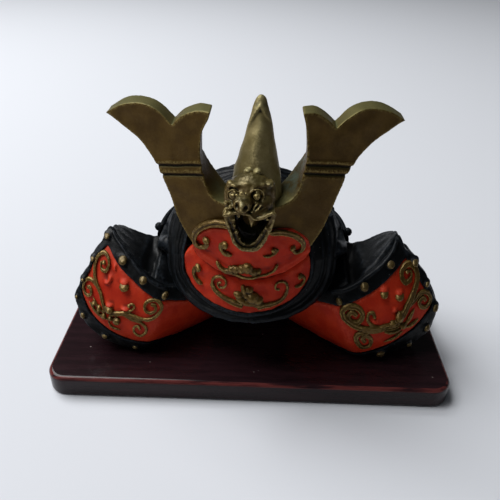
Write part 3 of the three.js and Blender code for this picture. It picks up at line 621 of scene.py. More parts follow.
def makeNeckGuard():
    g = neckGuardSize
    drop = (g["top"] - g["floor"] + (g["count"] - 1) * g["overlap"]) / g["count"]
    tuck = g["flare"] * (1 - g["overlap"] / drop) - g["wall"] - g["gap"]
    w = g["wall"]
    for i in range(g["count"]):
        top = g["top"] - i * (drop - g["overlap"])
        r = g["radius"] + i * tuck
        out = lambda s: r + g["flare"] * s
        outside = [(out(s), 0, top - drop * s) for s in np.linspace(0.03, 0.9, 12)]
        rolled = [(out(1) - w / 2 + w / 2 * math.cos(a), 0, top - drop + 0.45 * w + w * 0.45 * math.sin(a))
                  for a in np.linspace(0, -math.pi, 9)]
        inside = [(out(s) - w, 0, top - drop * s) for s in np.linspace(0.9, 0.03, 12)]
        openRing(f"neck_guard_{i + 1}", [*outside, *rolled, *inside], g["front"], [f"neck_lame_{i + 1}"],
                 g["squeeze"])


bandSize = {"top": 28.2, "base": 24.5, "trim": 0.2, "gap": 0.3, "thickness": 1.1, "edgeSoftness": 0.25,
            "front": -0.6, "studs": 7, "studLift": 0.4, "studSize": (1.1, 1.1, 1.1)}


def makeBowlBand():
    s = bandSize
    centre = bowlSize["middle"]
    top, base = s["top"], s["base"]
    ring = lambda z: math.sqrt(bowlSize["radius"] ** 2 - (z - centre[2]) ** 2) + s["gap"]
    soften = lambda z: s["edgeSoftness"] * abs(2 * (z - base) / (top - base) - 1) ** 4
    heights = np.linspace(base + s["trim"], top - s["trim"], 7)
    outside = [(ring(z) + s["thickness"] - soften(z), 0, z) for z in heights]
    inside = [(ring(z), 0, z) for z in heights[::-1]]
    level = (base + top) / 2 + s["studLift"]
    r = ring(level) + s["thickness"]
    studs = [(r * math.cos(a), centre[1] + r * math.sin(a), level)
             for a in np.linspace(0, math.pi, s["studs"])]
    openRing("bowl_rim_band", [*outside, *inside], s["front"], ["bowl_band"], studs=studs,
             studSize=s["studSize"])


makeBowl()
makeBowlBand()
makeNeckGuard()
print("bowl and neck guard ready")

archShape = {"level": 28, "rise": 14}


# A rounded-square arch, from its right end down and round to its left end.
def arch(halfWidth, drop, power=3.0, shift=0.0, reach=24, count=90):
    soft = lambda v: math.copysign(abs(v) ** (2 / power), v)
    made = []
    for degrees in np.linspace(reach, -180 - reach, count):
        a = math.radians(degrees)
        height = drop if -math.pi < a < 0 else archShape["rise"]
        made.append((halfWidth * soft(math.cos(a)) + shift, archShape["level"] + height * soft(math.sin(a))))
    return made


# Strokes are lines of (x, z) with their widths; lumps are (x, z), half sizes (across, proud, up) and a turn.
def makeRelief(name, face, strokes, lumps, nodes, side=1, seed=0.0):
    bm = bmesh.new()
    for settings, line in strokes:
        stroke(bm, face, line, **settings)
    for at, size, turn in lumps:
        boss(bm, face, at, size, 0.05, turn)
    data = bent(cast(bm, 0.12, 2), onFace(face, side), side < 0)
    finishPiece(name, handMade(data, 0.07, 0.9, seed), "relief", nodes)


visorShape = {
    "arch": (13.9, 8.1, 2.15, -0.85), "corners": [(-14.2, 30.0), (-12.6, 32.2), (11.6, 32.2), (12.5, 30.2)],
    "thickness": 1.8,
    # The hollow's shade is painted shadow under the field's lip.
    "hollow": {"level": 28.0, "bow": 0.026, "width": 1.1, "depth": 0.8, "within": 0.9, "shade": -0.45},
}
visorRelief = {
    "left": [
        ({"width": 1.32, "ridges": 2, "start": 1, "end": 0.75},
         [(-1.8, 21.8), (-3.0, 22.1), (-4.6, 22.6), (-6.2, 23.3), (-7.5, 24.2), (-8.2, 25.4)]),
        ({"width": 0.71, "start": 1.2, "end": 0.8, "height": 1.5},
         [(-8.1, 24.9), (-8.2, 25.9), (-7.7, 26.9), (-6.7, 27.5), (-5.6, 27.3), (-5.1, 26.3), (-5.6, 25.3),
          (-6.6, 25.1), (-6.9, 25.9), (-6.3, 26.2)]),
        ({"width": 1.26, "height": 1.2, "end": 0.9, "ball": 0.85},
         [(-10.5, 24.8), (-11.6, 25.2), (-12.3, 26.3), (-12.1, 27.4), (-11.3, 28.1)])],
    "right": [
        ({"width": 1.15, "ridges": 2, "start": 1},
         [(1.8, 21.5), (2.8, 21.7), (4.8, 22.0), (6.4, 22.5), (7.5, 23.6), (7.9, 25.1)]),
        ({"width": 0.69, "start": 1.2, "end": 0.8, "height": 1.5},
         [(7.8, 24.6), (7.8, 25.6), (7.2, 26.5), (6.2, 26.8), (5.4, 26.3), (5.3, 25.4), (6.0, 25.0)]),
        ({"width": 0.92, "height": 1.2, "end": 0.9, "ball": 0.62},
         [(9.6, 24.9), (10.8, 25.1), (11.5, 25.9), (11.2, 26.8), (10.5, 27.1)])],
    "bud": [
        ((-2.5, 24.1), (1.15, 0.92, 0.81), 0.35), ((-1.9, 23.1), (1.42, 0.98, 0.81), 0.5),
        ((-1.3, 25.2), (0.68, 0.92, 1.28), -0.3), ((-0.3, 25.4), (1.01, 0.86, 0.74), 0.2),
        ((0.5, 23.7), (1.55, 1.32, 1.28), 0.1), ((1.7, 23.1), (1.22, 1.09, 1.01), -0.3),
        ((-0.4, 22.5), (2.16, 0.92, 0.81), 0.15), ((1.9, 22.0), (1.35, 0.80, 0.68), -0.1),
        ((-0.7, 24.1), (0.81, 0.92, 0.81), 0)],
}


def makeVisor():
    s = visorShape
    h = s["hollow"]
    bm = bmesh.new()
    plate(bm, [*arch(*s["arch"], reach=0, count=60), *s["corners"]], 0, s["thickness"])
    data = cast(bm, 0.22, 4)
    at = points(data)  # the field's lip overhangs a shallow hollow, which is also given painted shadow
    hollow = hump(at[:, 2] - h["level"] - h["bow"] * at[:, 0] ** 2, h["width"]) * (at[:, 1] < h["within"])
    at[:, 1] += h["depth"] * hollow
    setPoints(data, at)
    data = handMade(bent(data, onFace(visorFace)), 0.16, 1.8)
    finishPiece("visor_plate", data, "red", ["visor"], h["shade"] * hollow)
    r = visorRelief
    for side, seed in (("left", 3), ("right", 4)):
        makeRelief("visor_scrolls_" + side, visorFace, r[side], [], ["visor_curl_" + side], seed=seed)
    makeRelief("visor_bud", visorFace, [], r["bud"], ["visor_garland"], seed=5)


rimShape = {
    "inner": (13.4, 7.7, 2.15, -0.9), "outer": (18.7, 10.0), "front": 0.15, "back": 1.9, "beads": 260,
    "rolls": [{"arch": (14.0, 8.2, 2.15, -0.9), "width": 0.9, "lift": 0.1, "height": 1.2},
              {"arch": (17.2, 9.4), "width": 1.8, "lift": -0.05, "height": 0.9},
              {"arch": (18.6, 10.05), "width": 0.7, "lift": -0.2, "height": 1.3},
              {"arch": (15.9, 8.9, 2.5, -0.3), "width": 0.7, "lift": -0.1, "height": 1.2}],
}


def makeRim():
    s = rimShape
    bm = bmesh.new()
    plate(bm, [*arch(*s["inner"]), *arch(*s["outer"])[::-1]], s["front"], s["back"])
    for roll in s["rolls"]:
        r = roll["width"] / 2
        for x, z in arch(*roll["arch"], count=s["beads"]):
            lump(bm, (x, -roll["lift"], z), (r, r * roll["height"], r), 1)
    data = handMade(bent(cast(bm, 0.2, 3), onFace(rimFace)), 0.14, 2.5, 5)
    finishPiece("visor_rolled_rim", data, "black", ["visor_rim"])


makeVisor()
makeRim()
print("visor ready")

fieldShape = {
    "top": [(0, 39.9), (4, 39.4), (7.6, 38.9), (9.8, 37.6), (11.6, 35.8), (12.3, 33.3)],
    "bottom": [(12.3, 33.2), (11.2, 31.6), (9.4, 30.3), (6.6, 29.0), (3.4, 28.7), (0, 28.6)],
    "thickness": 3.0, "thinBelow": 33, "thinTo": 0.75,
    "lip": {"level": 28.6, "bow": 0.031, "within": 1.2, "hollow": (0.2, 2.6, 1.6), "roll": (0.3, 0.6, 0.7)},
}
fieldRelief = {
    "left": [
        ({"width": 1.62, "ridges": 2, "start": 0.8, "height": 0.95},
         [(-4.4, 40.2), (-5.6, 40.4), (-7.4, 40.1), (-9.2, 39.3), (-10.8, 38.0), (-11.7, 36.4), (-11.8, 35.0),
          (-11.1, 34.0)]),
        ({"width": 1.19, "start": 1, "end": 1, "height": 1.1, "ball": 0.85},
         [(-11.4, 34.3), (-10.6, 33.9), (-9.6, 34.2), (-9.0, 35.2), (-9.2, 35.9)]),
        ({"width": 1.25, "start": 0.5, "end": 1.1, "height": 1.2, "ball": 0.88},
         [(-4.0, 33.9), (-5.2, 33.9), (-6.0, 34.6), (-6.0, 35.6), (-5.3, 35.9)])],
    "right": [
        ({"width": 1.25, "ridges": 2, "start": 0.7, "end": 0.8},
         [(3.8, 39.1), (5.6, 38.9), (7.4, 38.3), (9.1, 37.3), (10.4, 35.9), (10.7, 34.6), (10.1, 33.7)]),
        ({"width": 0.88, "start": 1, "end": 1, "height": 1.3, "ball": 0.68},
         [(10.3, 33.9), (9.4, 33.5), (8.7, 34.1), (8.5, 34.8)]),
        ({"width": 0.88, "start": 0.5, "end": 0.8, "height": 1.2, "ball": 0.62},
         [(2.6, 34.1), (3.8, 33.9), (4.8, 34.3), (5.3, 35.0), (4.6, 35.2)])],
    "garland": [
        ({"width": 1.19, "start": 0.5, "end": 1.2, "height": 1.2},
         [(-7.0, 31.3), (-6.4, 30.3), (-5.3, 29.7), (-4.1, 29.7)]),
        ({"width": 0.94, "start": 0.8, "end": 0.8, "height": 1.2},
         [(-4.4, 29.5), (-2.7, 29.3), (-1.2, 29.0), (0.4, 29.1), (2.0, 29.4), (3.7, 29.6), (4.8, 30.2),
          (5.4, 31.2)])],
    "buds": [
        ((-4.1, 30.4), (0.68, 0.92, 0.81), 0), ((-3.1, 30.6), (1.28, 0.98, 0.88), -0.15),
        ((-1.9, 30.9), (0.94, 1.03, 1.01), 0), ((-0.7, 31.3), (1.28, 1.15, 1.28), 0),
        ((0.6, 30.5), (1.22, 0.92, 0.88), 0.2), ((1.6, 30.5), (0.74, 0.80, 0.68), 0)],
}


def makeField():
    s = fieldShape
    lip = s["lip"]
    half = [p for part in ("top", "bottom") for p in smoothLine(s[part], 0.6)[:-1]] + [s["bottom"][-1]]
    bm = bmesh.new()
    plate(bm, half + [(-x, z) for x, z in half[::-1] if x > 0.01], 0, s["thickness"])
    data = cast(bm, 0.22, 5)
    at = points(data)  # a soft roll along the lip, hollow above it
    above = at[:, 2] - lip["level"] - lip["bow"] * at[:, 0] ** 2
    hollow, roll = (amount * hump(above - level, width)
                    for amount, level, width in (lip["hollow"], lip["roll"]))
    at[:, 1] += (hollow - roll) * (at[:, 1] < lip["within"])
    setPoints(data, at)
    thin = lambda z: np.where(z < s["thinBelow"], s["thinTo"], 1.0)
    data = bent(data, lambda x, d, z: (x, tierFace(x, z) + d * thin(z), z))
    finishPiece("crest_red_field", handMade(data, 0.14, 2.0, 7), "red", ["crest_field"])
    r = fieldRelief
    for side, seed in (("left", 11), ("right", 12)):
        makeRelief("field_scrolls_" + side, tierFace, r[side], [],
                   ["crest_curl_" + side, "crest_comma_" + side], seed=seed)
    makeRelief("field_garland", tierFace, r["garland"], r["buds"], ["crest_garland"], seed=13)


makeField()
print("crest field ready")

bladeShape = {
    "outline": [
        [(0.0, 34), (11.3, 32.6)],
        [(11.3, 32.6), (14.9, 37.8), (17, 43.5), (19.3, 49), (22.8, 53.7), (27, 56.3), (30, 58)],
        [(30, 58), (26.4, 60.2), (22.4, 61.1), (19, 60.4), (15.8, 57.9)],
        [(15.8, 57.9), (13.6, 60.1), (11.3, 61.4), (9, 61.5)],
        [(9, 61.5), (10, 57.5), (10.2, 52), (9, 46.7), (6.5, 44.4), (0.0, 44)]],
    "thickness": 5, "bowlRoom": 22.8, "leftTipIn": 0.9,
    "grooves": {"left": (50.2, 48.25), "right": (50.9, 49.1)},
    "groove": {"fall": 0.19, "middle": 14, "fade": 1.2, "depth": 0.42, "width": 0.28, "lipHeight": 0.16,
               "lipOff": 0.75, "lipWidth": 0.4},
    "patinaAndHighlight": {"left": [((-7.0, -16.0, 46.0), 2.0, 0.35)],
               "right": [((7.6, -15.8, 47.3), 2.3, 1.1), ((9.3, -14.5, 51), 1.8, 0.6)]},
}


# The back of a blade draws in under its edge, and its root is thicker.
def bladePlace(side):
    def place(x, d, z):
        root = 1 + 0.14 * np.maximum(0, 45 - z) * np.maximum(0, 1 - np.abs(x) / 11)
        drawIn = np.minimum(3.5, 0.45 * np.maximum(0, 52.5 - z))
        return side * (x - d / bladeShape["thickness"] * drawIn), crestFace(x, z) + d * root, z
    return place


def makeBlades():
    s = bladeShape
    g = s["groove"]
    for side, name in ((1, "right"), (-1, "left")):
        outline = [p for part in s["outline"] for p in smoothLine(part)[:-1]]
        if side < 0:  # the left tip reaches a little further in
            outline = [(x - s["leftTipIn"] * rise(z, 57, 3) * (1 - rise(x, 10, 4)), z) for x, z in outline]
        bm = bmesh.new()
        plate(bm, [*outline, s["outline"][-1][-1]], 0, s["thickness"])
        data = cast(bm, 0.2, 5)
        at = points(data)
        for level in s["grooves"][name]:  # two lines are pressed across the blade
            off = at[:, 2] - level + g["fall"] * (at[:, 0] - g["middle"])
            pressed = g["depth"] * hump(off, g["width"])
            raised = g["lipHeight"] * hump(off - g["lipOff"], g["lipWidth"])
            at[:, 1] += (1 - rise(at[:, 1], 0, g["fade"])) * (pressed - raised)
        setPoints(data, at)
        data = handMade(bent(data, bladePlace(side), side < 0), 0.16, 3.5, 17 + side)
        room = bmesh.new()
        bmesh.ops.create_icosphere(room, subdivisions=5, radius=s["bowlRoom"],
                                   matrix=Matrix.Translation(bowlSize["middle"]))
        finishPiece("crest_blade_" + name, cutBy(data, room), "gold", ["blade_" + name],
                    patinaAndHighlight=s["patinaAndHighlight"][name])


# Each row of the horn: height, x, y, half width and half depth.
hornShape = {
    "rows": [(39.5, 0.5, -15.5, 5.6, 5.2), (45, 0.6, -15.7, 5.5, 5.0), (49.5, 0.75, -15, 4.6, 4.3),
             (54, 0.95, -14.1, 3.4, 3.3), (58, 1.1, -13.1, 2.4, 2.5), (61, 1.15, -12.2, 1.7, 1.8),
             (62.6, 1.2, -11.7, 0.95, 1.0), (63.1, 1.2, -11.5, 0.5, 0.5)],
    "nubs": [(-1.0, -19.0, 50.7), (0.9, -19.0, 50.6)], "nubSize": (0.8, 1.0, 0.6),
    "hood": {"middle": 1.1, "peak": 62.2, "slopes": (1.75, 1.5), "from": 55.5, "over": 2.5, "edge": 0.3,
             "hollow": 0.3},
    "belly": {"middle": 0.3, "lean": 0.04, "width": 1.9, "above": 48, "proud": 0.35, "paintedHighlight": 0.35},
    "tip": {"from": 60.4, "over": 1.2, "dark": 0.55},
}


def makeHorn():
    s = hornShape
    rows = np.array(s["rows"])
    bm = bmesh.new()
    for z in np.arange(39.9, 63.2, 0.3):
        x, y, across, deep = (np.interp(z, rows[:, 0], rows[:, k]) for k in range(1, 5))
        lump(bm, (x, y, z), (across, deep, 0.5 if z < 61 else 0.3), 3)
    for at in s["nubs"]:  # where the head joins
        lump(bm, at, s["nubSize"])
    data = cast(bm, 0.2, 5)
    at = points(data)
    x, y, z = at.T
    hood, belly, tip = s["hood"], s["belly"], s["tip"]
    front = y < np.interp(z, rows[:, 0], rows[:, 2])
    off = x - hood["middle"]
    fold = hood["peak"] - z - np.where(off < 0, *hood["slopes"]) * np.hypot(off, 0.4)  # from the hood's edge
    within = rise(z, hood["from"], hood["over"])
    bulge = hump(x - belly["middle"] + belly["lean"] * (58 - z), belly["width"]) * (z > belly["above"])
    pressed = hood["hollow"] / (1 + np.exp(-(fold - 0.8) * 3)) * np.exp(-np.maximum(0, fold - 0.9) / 2.5)
    pressed -= hood["edge"] * hump(fold, 0.5)
    # A painted highlight runs down the belly, and painted shade lies just under the hood's edge.
    shade = front * (belly["paintedHighlight"] * bulge * rise(fold, 3.5, 4) - 0.1 * within * hump(fold - 1.6, 1.1))
    shade -= tip["dark"] * rise(z, tip["from"], tip["over"])  # the tip is painted darker towards its point
    at[:, 1] += front * (pressed * within - belly["proud"] * bulge * rise(fold, 1.5, 5))
    setPoints(data, at)
    finishPiece("horn_plume", handMade(data, 0.2, 2.4, 23), "horn", ["horn"], shade)


headShape = {
    "forms": [((-0.4, -20.4, 46.3), (4.8, 4.7, 4.5)), ((-1.75, -25.0, 46.9), (1.85, 3.3, 1.5)),
              ((-4.2, -21.8, 49.0), (0.8, 1.1, 0.9)), ((3.2, -21.4, 49.3), (0.9, 1.5, 0.6)),
              ((-3.1, -22.7, 49.4), (1.2, 1.0, 0.45)), ((1.0, -22.5, 49.5), (1.6, 0.9, 0.4)),
              ((-0.7, -21.6, 48.7), (3.0, 2.4, 1.7)), ((-4.1, -24.2, 45.6), (1.0, 1.6, 1.0)),
              ((1.8, -23.4, 46.2), (2.2, 2.1, 1.6)), ((-0.5, -22.5, 44.6), (4.6, 3.6, 2.2)),
              ((3.8, -20.6, 46.6), (0.7, 1.8, 2.8)), ((-4.9, -20.8, 46.2), (0.6, 1.8, 2.4))],
    "jaw": [(-5.0, 45.4), (-4.8, 43.6), (-4.3, 42.1), (-3.8, 40.8), (-3.2, 39.3), (-2.0, 38.1), (-0.5, 37.8),
            (0.8, 37.9), (1.8, 38.7), (2.6, 39.9), (3.2, 41.3), (4.0, 43.3), (4.4, 45.4)],
    "jawDepth": (-26.5, -20.5), "jawFront": -26.9, "jawLean": 0.1,
    "mouth": [(-3.2, 45.2), (-3.1, 43.7), (-2.8, 41.6), (-2.3, 40.1), (-1.5, 39.0), (-0.3, 38.7), (0.7, 39.4),
              (1.5, 40.7), (2.3, 41.9), (3.2, 43.6), (3.7, 45.3), (2.2, 44.7), (0.8, 44.4), (-0.3, 45.1),
              (-1.7, 45.4)],
    "mouthDepth": (-31, -24.3), "throat": ((-0.1, -24.2, 42.4), (2.6, 2.9, 2.5)),
    "upperLip": [(-5.0, 44.9), (-3.4, 45.4), (-1.7, 45.5), (-0.3, 45.1), (0.8, 44.4), (2.2, 44.7),
                 (3.8, 45.6)],
    "fang": {"root": (0.15, 44.6), "tip": (0.0, 42.7), "thick": 0.75, "point": 0.12},
    "teeth": [(-3.5, 44.1, 0.44), (-3.2, 42.9, 0.3), (-2.8, 41.5, 0.42), (-2.2, 40.2, 0.26),
              (2.0, 41.2, 0.24), (2.8, 42.5, 0.34), (-2.4, 44.8, 0.35), (3.0, 44.3, 0.3),
              (-1.3, 39.1, 0.3), (0.5, 39.3, 0.22)],
    "eyes": [{"at": (-3.5, -24.5, 48.1), "ball": 0.85, "ring": 1.0},
             {"at": (0.95, -24.5, 48.1), "ball": 0.95, "ring": 1.2}],
    "knobs": [(-1.9, -26.3, 49.3, 0.5), (-2.8, -26.2, 48.9, 0.35), (-1.1, -26.0, 49.1, 0.35),
              (-4.5, -25.7, 45.5, 0.75), (-4.8, -25.0, 46.8, 0.5), (-3.9, -26.3, 46.6, 0.45),
              (-5.0, -24.2, 44.3, 0.6)],
    "wrinkles": [(0.3, 45.4, 2.0, 46.7), (0.5, 45.2, 2.6, 46.2), (0.7, 45.0, 3.0, 45.8),
                 (0.0, 45.8, 1.1, 46.9)],
    "nostrils": [(-2.6, -28.2, 47.1), (-1.1, -28.3, 46.9)],
    # The patina spots on the head are painted highlights, by the ear and on the snout.
    "mouthPaintedShade": -2.5, "patinaAndHighlight": [((4.0, -23.5, 49.0), 1.1, 0.8), ((-1.9, -28.0, 48.0), 0.7, 0.5)],
}


# The head's skull and jaw, with the mouth cut out.
def headBlank():
    h = headShape
    bm = bmesh.new()
    for at, size in h["forms"]:
        lump(bm, at, size, 4)
    plate(bm, smoothLine(h["jaw"], 0.4), *h["jawDepth"])
    data = cast(bm, 0.16, 5)
    cutter = bmesh.new()
    plate(cutter, smoothLine(h["mouth"], 0.3), *h["mouthDepth"])
    data = cutBy(data, cutter)
    cutter = bmesh.new()
    lump(cutter, *h["throat"], 3)
    return cutBy(data, cutter)


def makeHead():
    h = headShape
    frontAt = lambda z: h["jawFront"] + h["jawLean"] * (z - 41)  # the jaw hangs a little forward
    bm = reopened(headBlank())
    for x, z in smoothLine(h["jaw"], 0.16):  # the lip rolls out round the jaw
        lump(bm, (x * 0.96 + 0.02, frontAt(z) + 0.15, z), (0.42, 0.5, 0.42), 1)
    for x, z in smoothLine(h["upperLip"], 0.16):
        lump(bm, (x, frontAt(z) - 0.1, z), (0.42, 0.55, 0.4), 1)
    fang = h["fang"]
    for t in np.linspace(0, 1, 9):
        x, z = (a + (b - a) * t for a, b in zip(fang["root"], fang["tip"]))
        lump(bm, (x, frontAt(44) + 0.1, z), (fang["thick"] * (1 - t) + fang["point"], 0.4, 0.25), 1)
    for eye in h["eyes"]:
        x, y, z = eye["at"]
        for a in np.linspace(0, 2 * math.pi, 36):
            across, up = eye["ring"] * math.cos(a), eye["ring"] * math.sin(a)
            lump(bm, (x + across, y + 0.05 + 0.1 * math.cos(a) ** 2, z + up), (0.22, 0.38, 0.22), 1)
    for x, y, z, r in h["knobs"]:
        lump(bm, (x, y, z), (r, r, r))
    for x, z, r in h["teeth"]:
        lump(bm, (x, frontAt(z) + 0.15, z), (r * 1.15, r * 1.4, r * 1.3), 1)
    for x0, z0, x1, z1 in h["wrinkles"]:  # over the right cheek
        for t in np.linspace(0, 1, 10):
            lump(bm, (x0 + (x1 - x0) * t, -26.5 + 1.3 * t, z0 + (z1 - z0) * t), (0.2, 0.45, 0.2), 1)
    data = cast(bm, 0.125, 2)
    at = points(data)
    forward = np.clip(-pointNormals(data)[:, 1] * 2, 0, 1)
    for eye in h["eyes"]:  # a groove runs round inside each ring
        x, y, z = eye["at"]
        near = (np.abs(at[:, 1] - y) < 2) * forward
        at[:, 1] += near * 0.7 * hump(np.hypot(at[:, 0] - x, at[:, 2] - z) - eye["ring"] * 0.74, 0.24)
    for x, y, z in h["nostrils"]:
        off = np.hypot((at[:, 0] - x) / 0.42, (at[:, 2] - z) / 0.6)
        at[:, 1] += (at[:, 1] < -26) * 1.3 * np.exp(-off ** 2.6)
    setPoints(data, at)
    bm = reopened(data)
    for eye in h["eyes"]:
        x, y, z = eye["at"]
        r = eye["ball"]
        lump(bm, (x, y - 0.3, z - 0.05), (r * 0.72, r * 0.75, r * 0.72), 3)
    data = cast(bm, 0.125, 1)
    # The inside of the open mouth is darkened as painted shade.
    x, y, z = points(data).T
    inside = (y > frontAt(z) + 0.7) & (y < -21.4) & (z > 37.4) & (z < 45.2)
    inside &= np.abs(x + 0.2) < 0.45 * (z - 37) + 0.6
    data = handMade(data, 0.1, 0.8, 29)
    finishPiece("beast_head_cast", data, "head", ["beast_head"], h["mouthPaintedShade"] * inside, h["patinaAndHighlight"])


makeBlades()
makeHorn()
makeHead()
print("crest ready")

wingShape = {
    "left": {
        "top": [(22.3, 27.6), (24.2, 27.3), (26.5, 27.6), (28.7, 28.6), (30.7, 29.5), (32.2, 30.4),
                (33.4, 30.6), (34.5, 29.6), (36, 27.4)],
        "ridge": [(18.2, 21.0), (19.3, 21.5), (22.3, 23.1), (24.7, 24.6), (26.5, 26.0), (28.8, 27.9),
                  (30.5, 29.2), (31.6, 30.2)],
        "edge": [(31.6, 30.2), (32.7, 30.6), (33.7, 29.8), (34.6, 27.9), (36.2, 26.0), (37.1, 23.6),
                 (38.6, 21.7), (39.2, 19.6), (40.4, 17.4), (39.8, 15.2), (39.2, 13.2), (37.6, 11.0),
                 (35.4, 8.8), (32.4, 7.0), (28.6, 6.0), (25.0, 5.5)],
        "panelTop": [(19.9, 18.9), (22.2, 20.1), (24.3, 21.4), (26.3, 22.8), (29.6, 24.9), (31.3, 26.6),
                     (32.8, 28.0)],
        "panelEdge": [(32.8, 28.0), (34.0, 26.7), (35.6, 25.0), (36.9, 22.4), (38.2, 20.4), (38.6, 18.8),
                      (38.0, 17.1), (36.8, 15.0), (35.1, 13.2), (32.9, 11.7), (30.8, 10.4), (28.2, 9.4),
                      (25.6, 8.8)],
        "foot": [(25.6, 8.8), (23.4, 8.3), (21.4, 7.6), (19.0, 6.5), (16.8, 5.6)],
        "tail": [(19.9, 18.9), (18.0, 18.4), (15.4, 17.1), (13.6, 16.3), (11.5, 15.5)],
        "redBumps": [((32.2, 21.7), (0.75, 0.5, 0.4)), ((31.5, 22.5), (0.4, 0.35, 0.6)),
                     ((31.6, 17.3), (0.9, 0.55, 0.45)), ((27.8, 17.1), (0.9, 0.5, 0.35)),
                     ((30.6, 24.6), (0.35, 0.25, 0.8)), ((28.1, 22.2), (0.9, 0.5, 0.6))],
        "topStuds": [((33.0, 29.6), 0.75), ((28.7, 26.2), 1.05), ((23.8, 23.1), 0.9), ((18.9, 20.1), 0.8)],
        "edgeStuds": [((38.2, 21.2), 0.5), ((39.8, 17.2), 0.45), ((38.3, 13.4), 0.65), ((33.2, 9.2), 0.7),
                      ((26.2, 6.9), 0.6), ((36.0, 25.4), 0.5)],
    },
    "right": {
        "top": [(24.0, 27.0), (27.0, 27.4), (29.2, 28.8), (31.3, 30.1), (32.4, 30.8), (33.5, 31.0),
                (34.6, 29.8), (36, 27.6)],
        "ridge": [(18.0, 21.2), (18.9, 21.7), (22.1, 22.9), (26.2, 25.0), (29.7, 27.0), (31.8, 28.9),
                  (32.5, 30.0)],
        "edge": [(32.5, 30.0), (33.5, 30.4), (34.3, 29.3), (35.0, 28.1), (36.9, 27.0), (38.2, 24.9),
                 (39.9, 23.0), (40.9, 20.4), (42.2, 18.4), (43.1, 16.0), (42.4, 13.2), (41.4, 10.6),
                 (38.8, 8.4), (36.4, 7.0), (32.6, 5.9), (28.5, 5.5), (25.0, 5.5)],
        "panelTop": [(19.4, 18.9), (21.7, 19.8), (24.4, 20.9), (27.7, 22.4), (30.9, 24.3), (32.6, 25.5),
                     (34.6, 27.1)],
        "panelEdge": [(34.6, 27.1), (36.7, 24.4), (39.0, 21.2), (41.0, 18.4), (41.3, 16.9), (40.2, 15.4),
                      (37.5, 12.9), (34.2, 10.9), (30.9, 8.9), (27.7, 7.5), (25.2, 6.6)],
        "foot": [(25.2, 6.6), (23.6, 6.3), (21.5, 6.0), (19.0, 5.7), (17.0, 5.5)],
        "tail": [(19.4, 18.9), (17.2, 18.4), (15.4, 17.9), (13.6, 17.0), (11.5, 16.0)],
        "redBumps": [((29.6, 22.1), (0.85, 0.5, 0.65)), ((33.1, 21.3), (0.85, 0.5, 0.6)),
                     ((32.2, 18.0), (0.5, 0.4, 0.5)), ((27.8, 16.0), (0.6, 0.4, 0.4))],
        "topStuds": [((31.0, 26.6), 0.95), ((25.0, 23.1), 0.95), ((19.5, 20.1), 0.75)],
        "edgeStuds": [((36.8, 26.2), 0.75), ((39.8, 21.9), 0.6), ((42.3, 16.4), 0.75), ((40.7, 12.1), 0.75),
                      ((36.8, 8.4), 0.6), ((30.2, 6.8), 0.95)],
    },
}
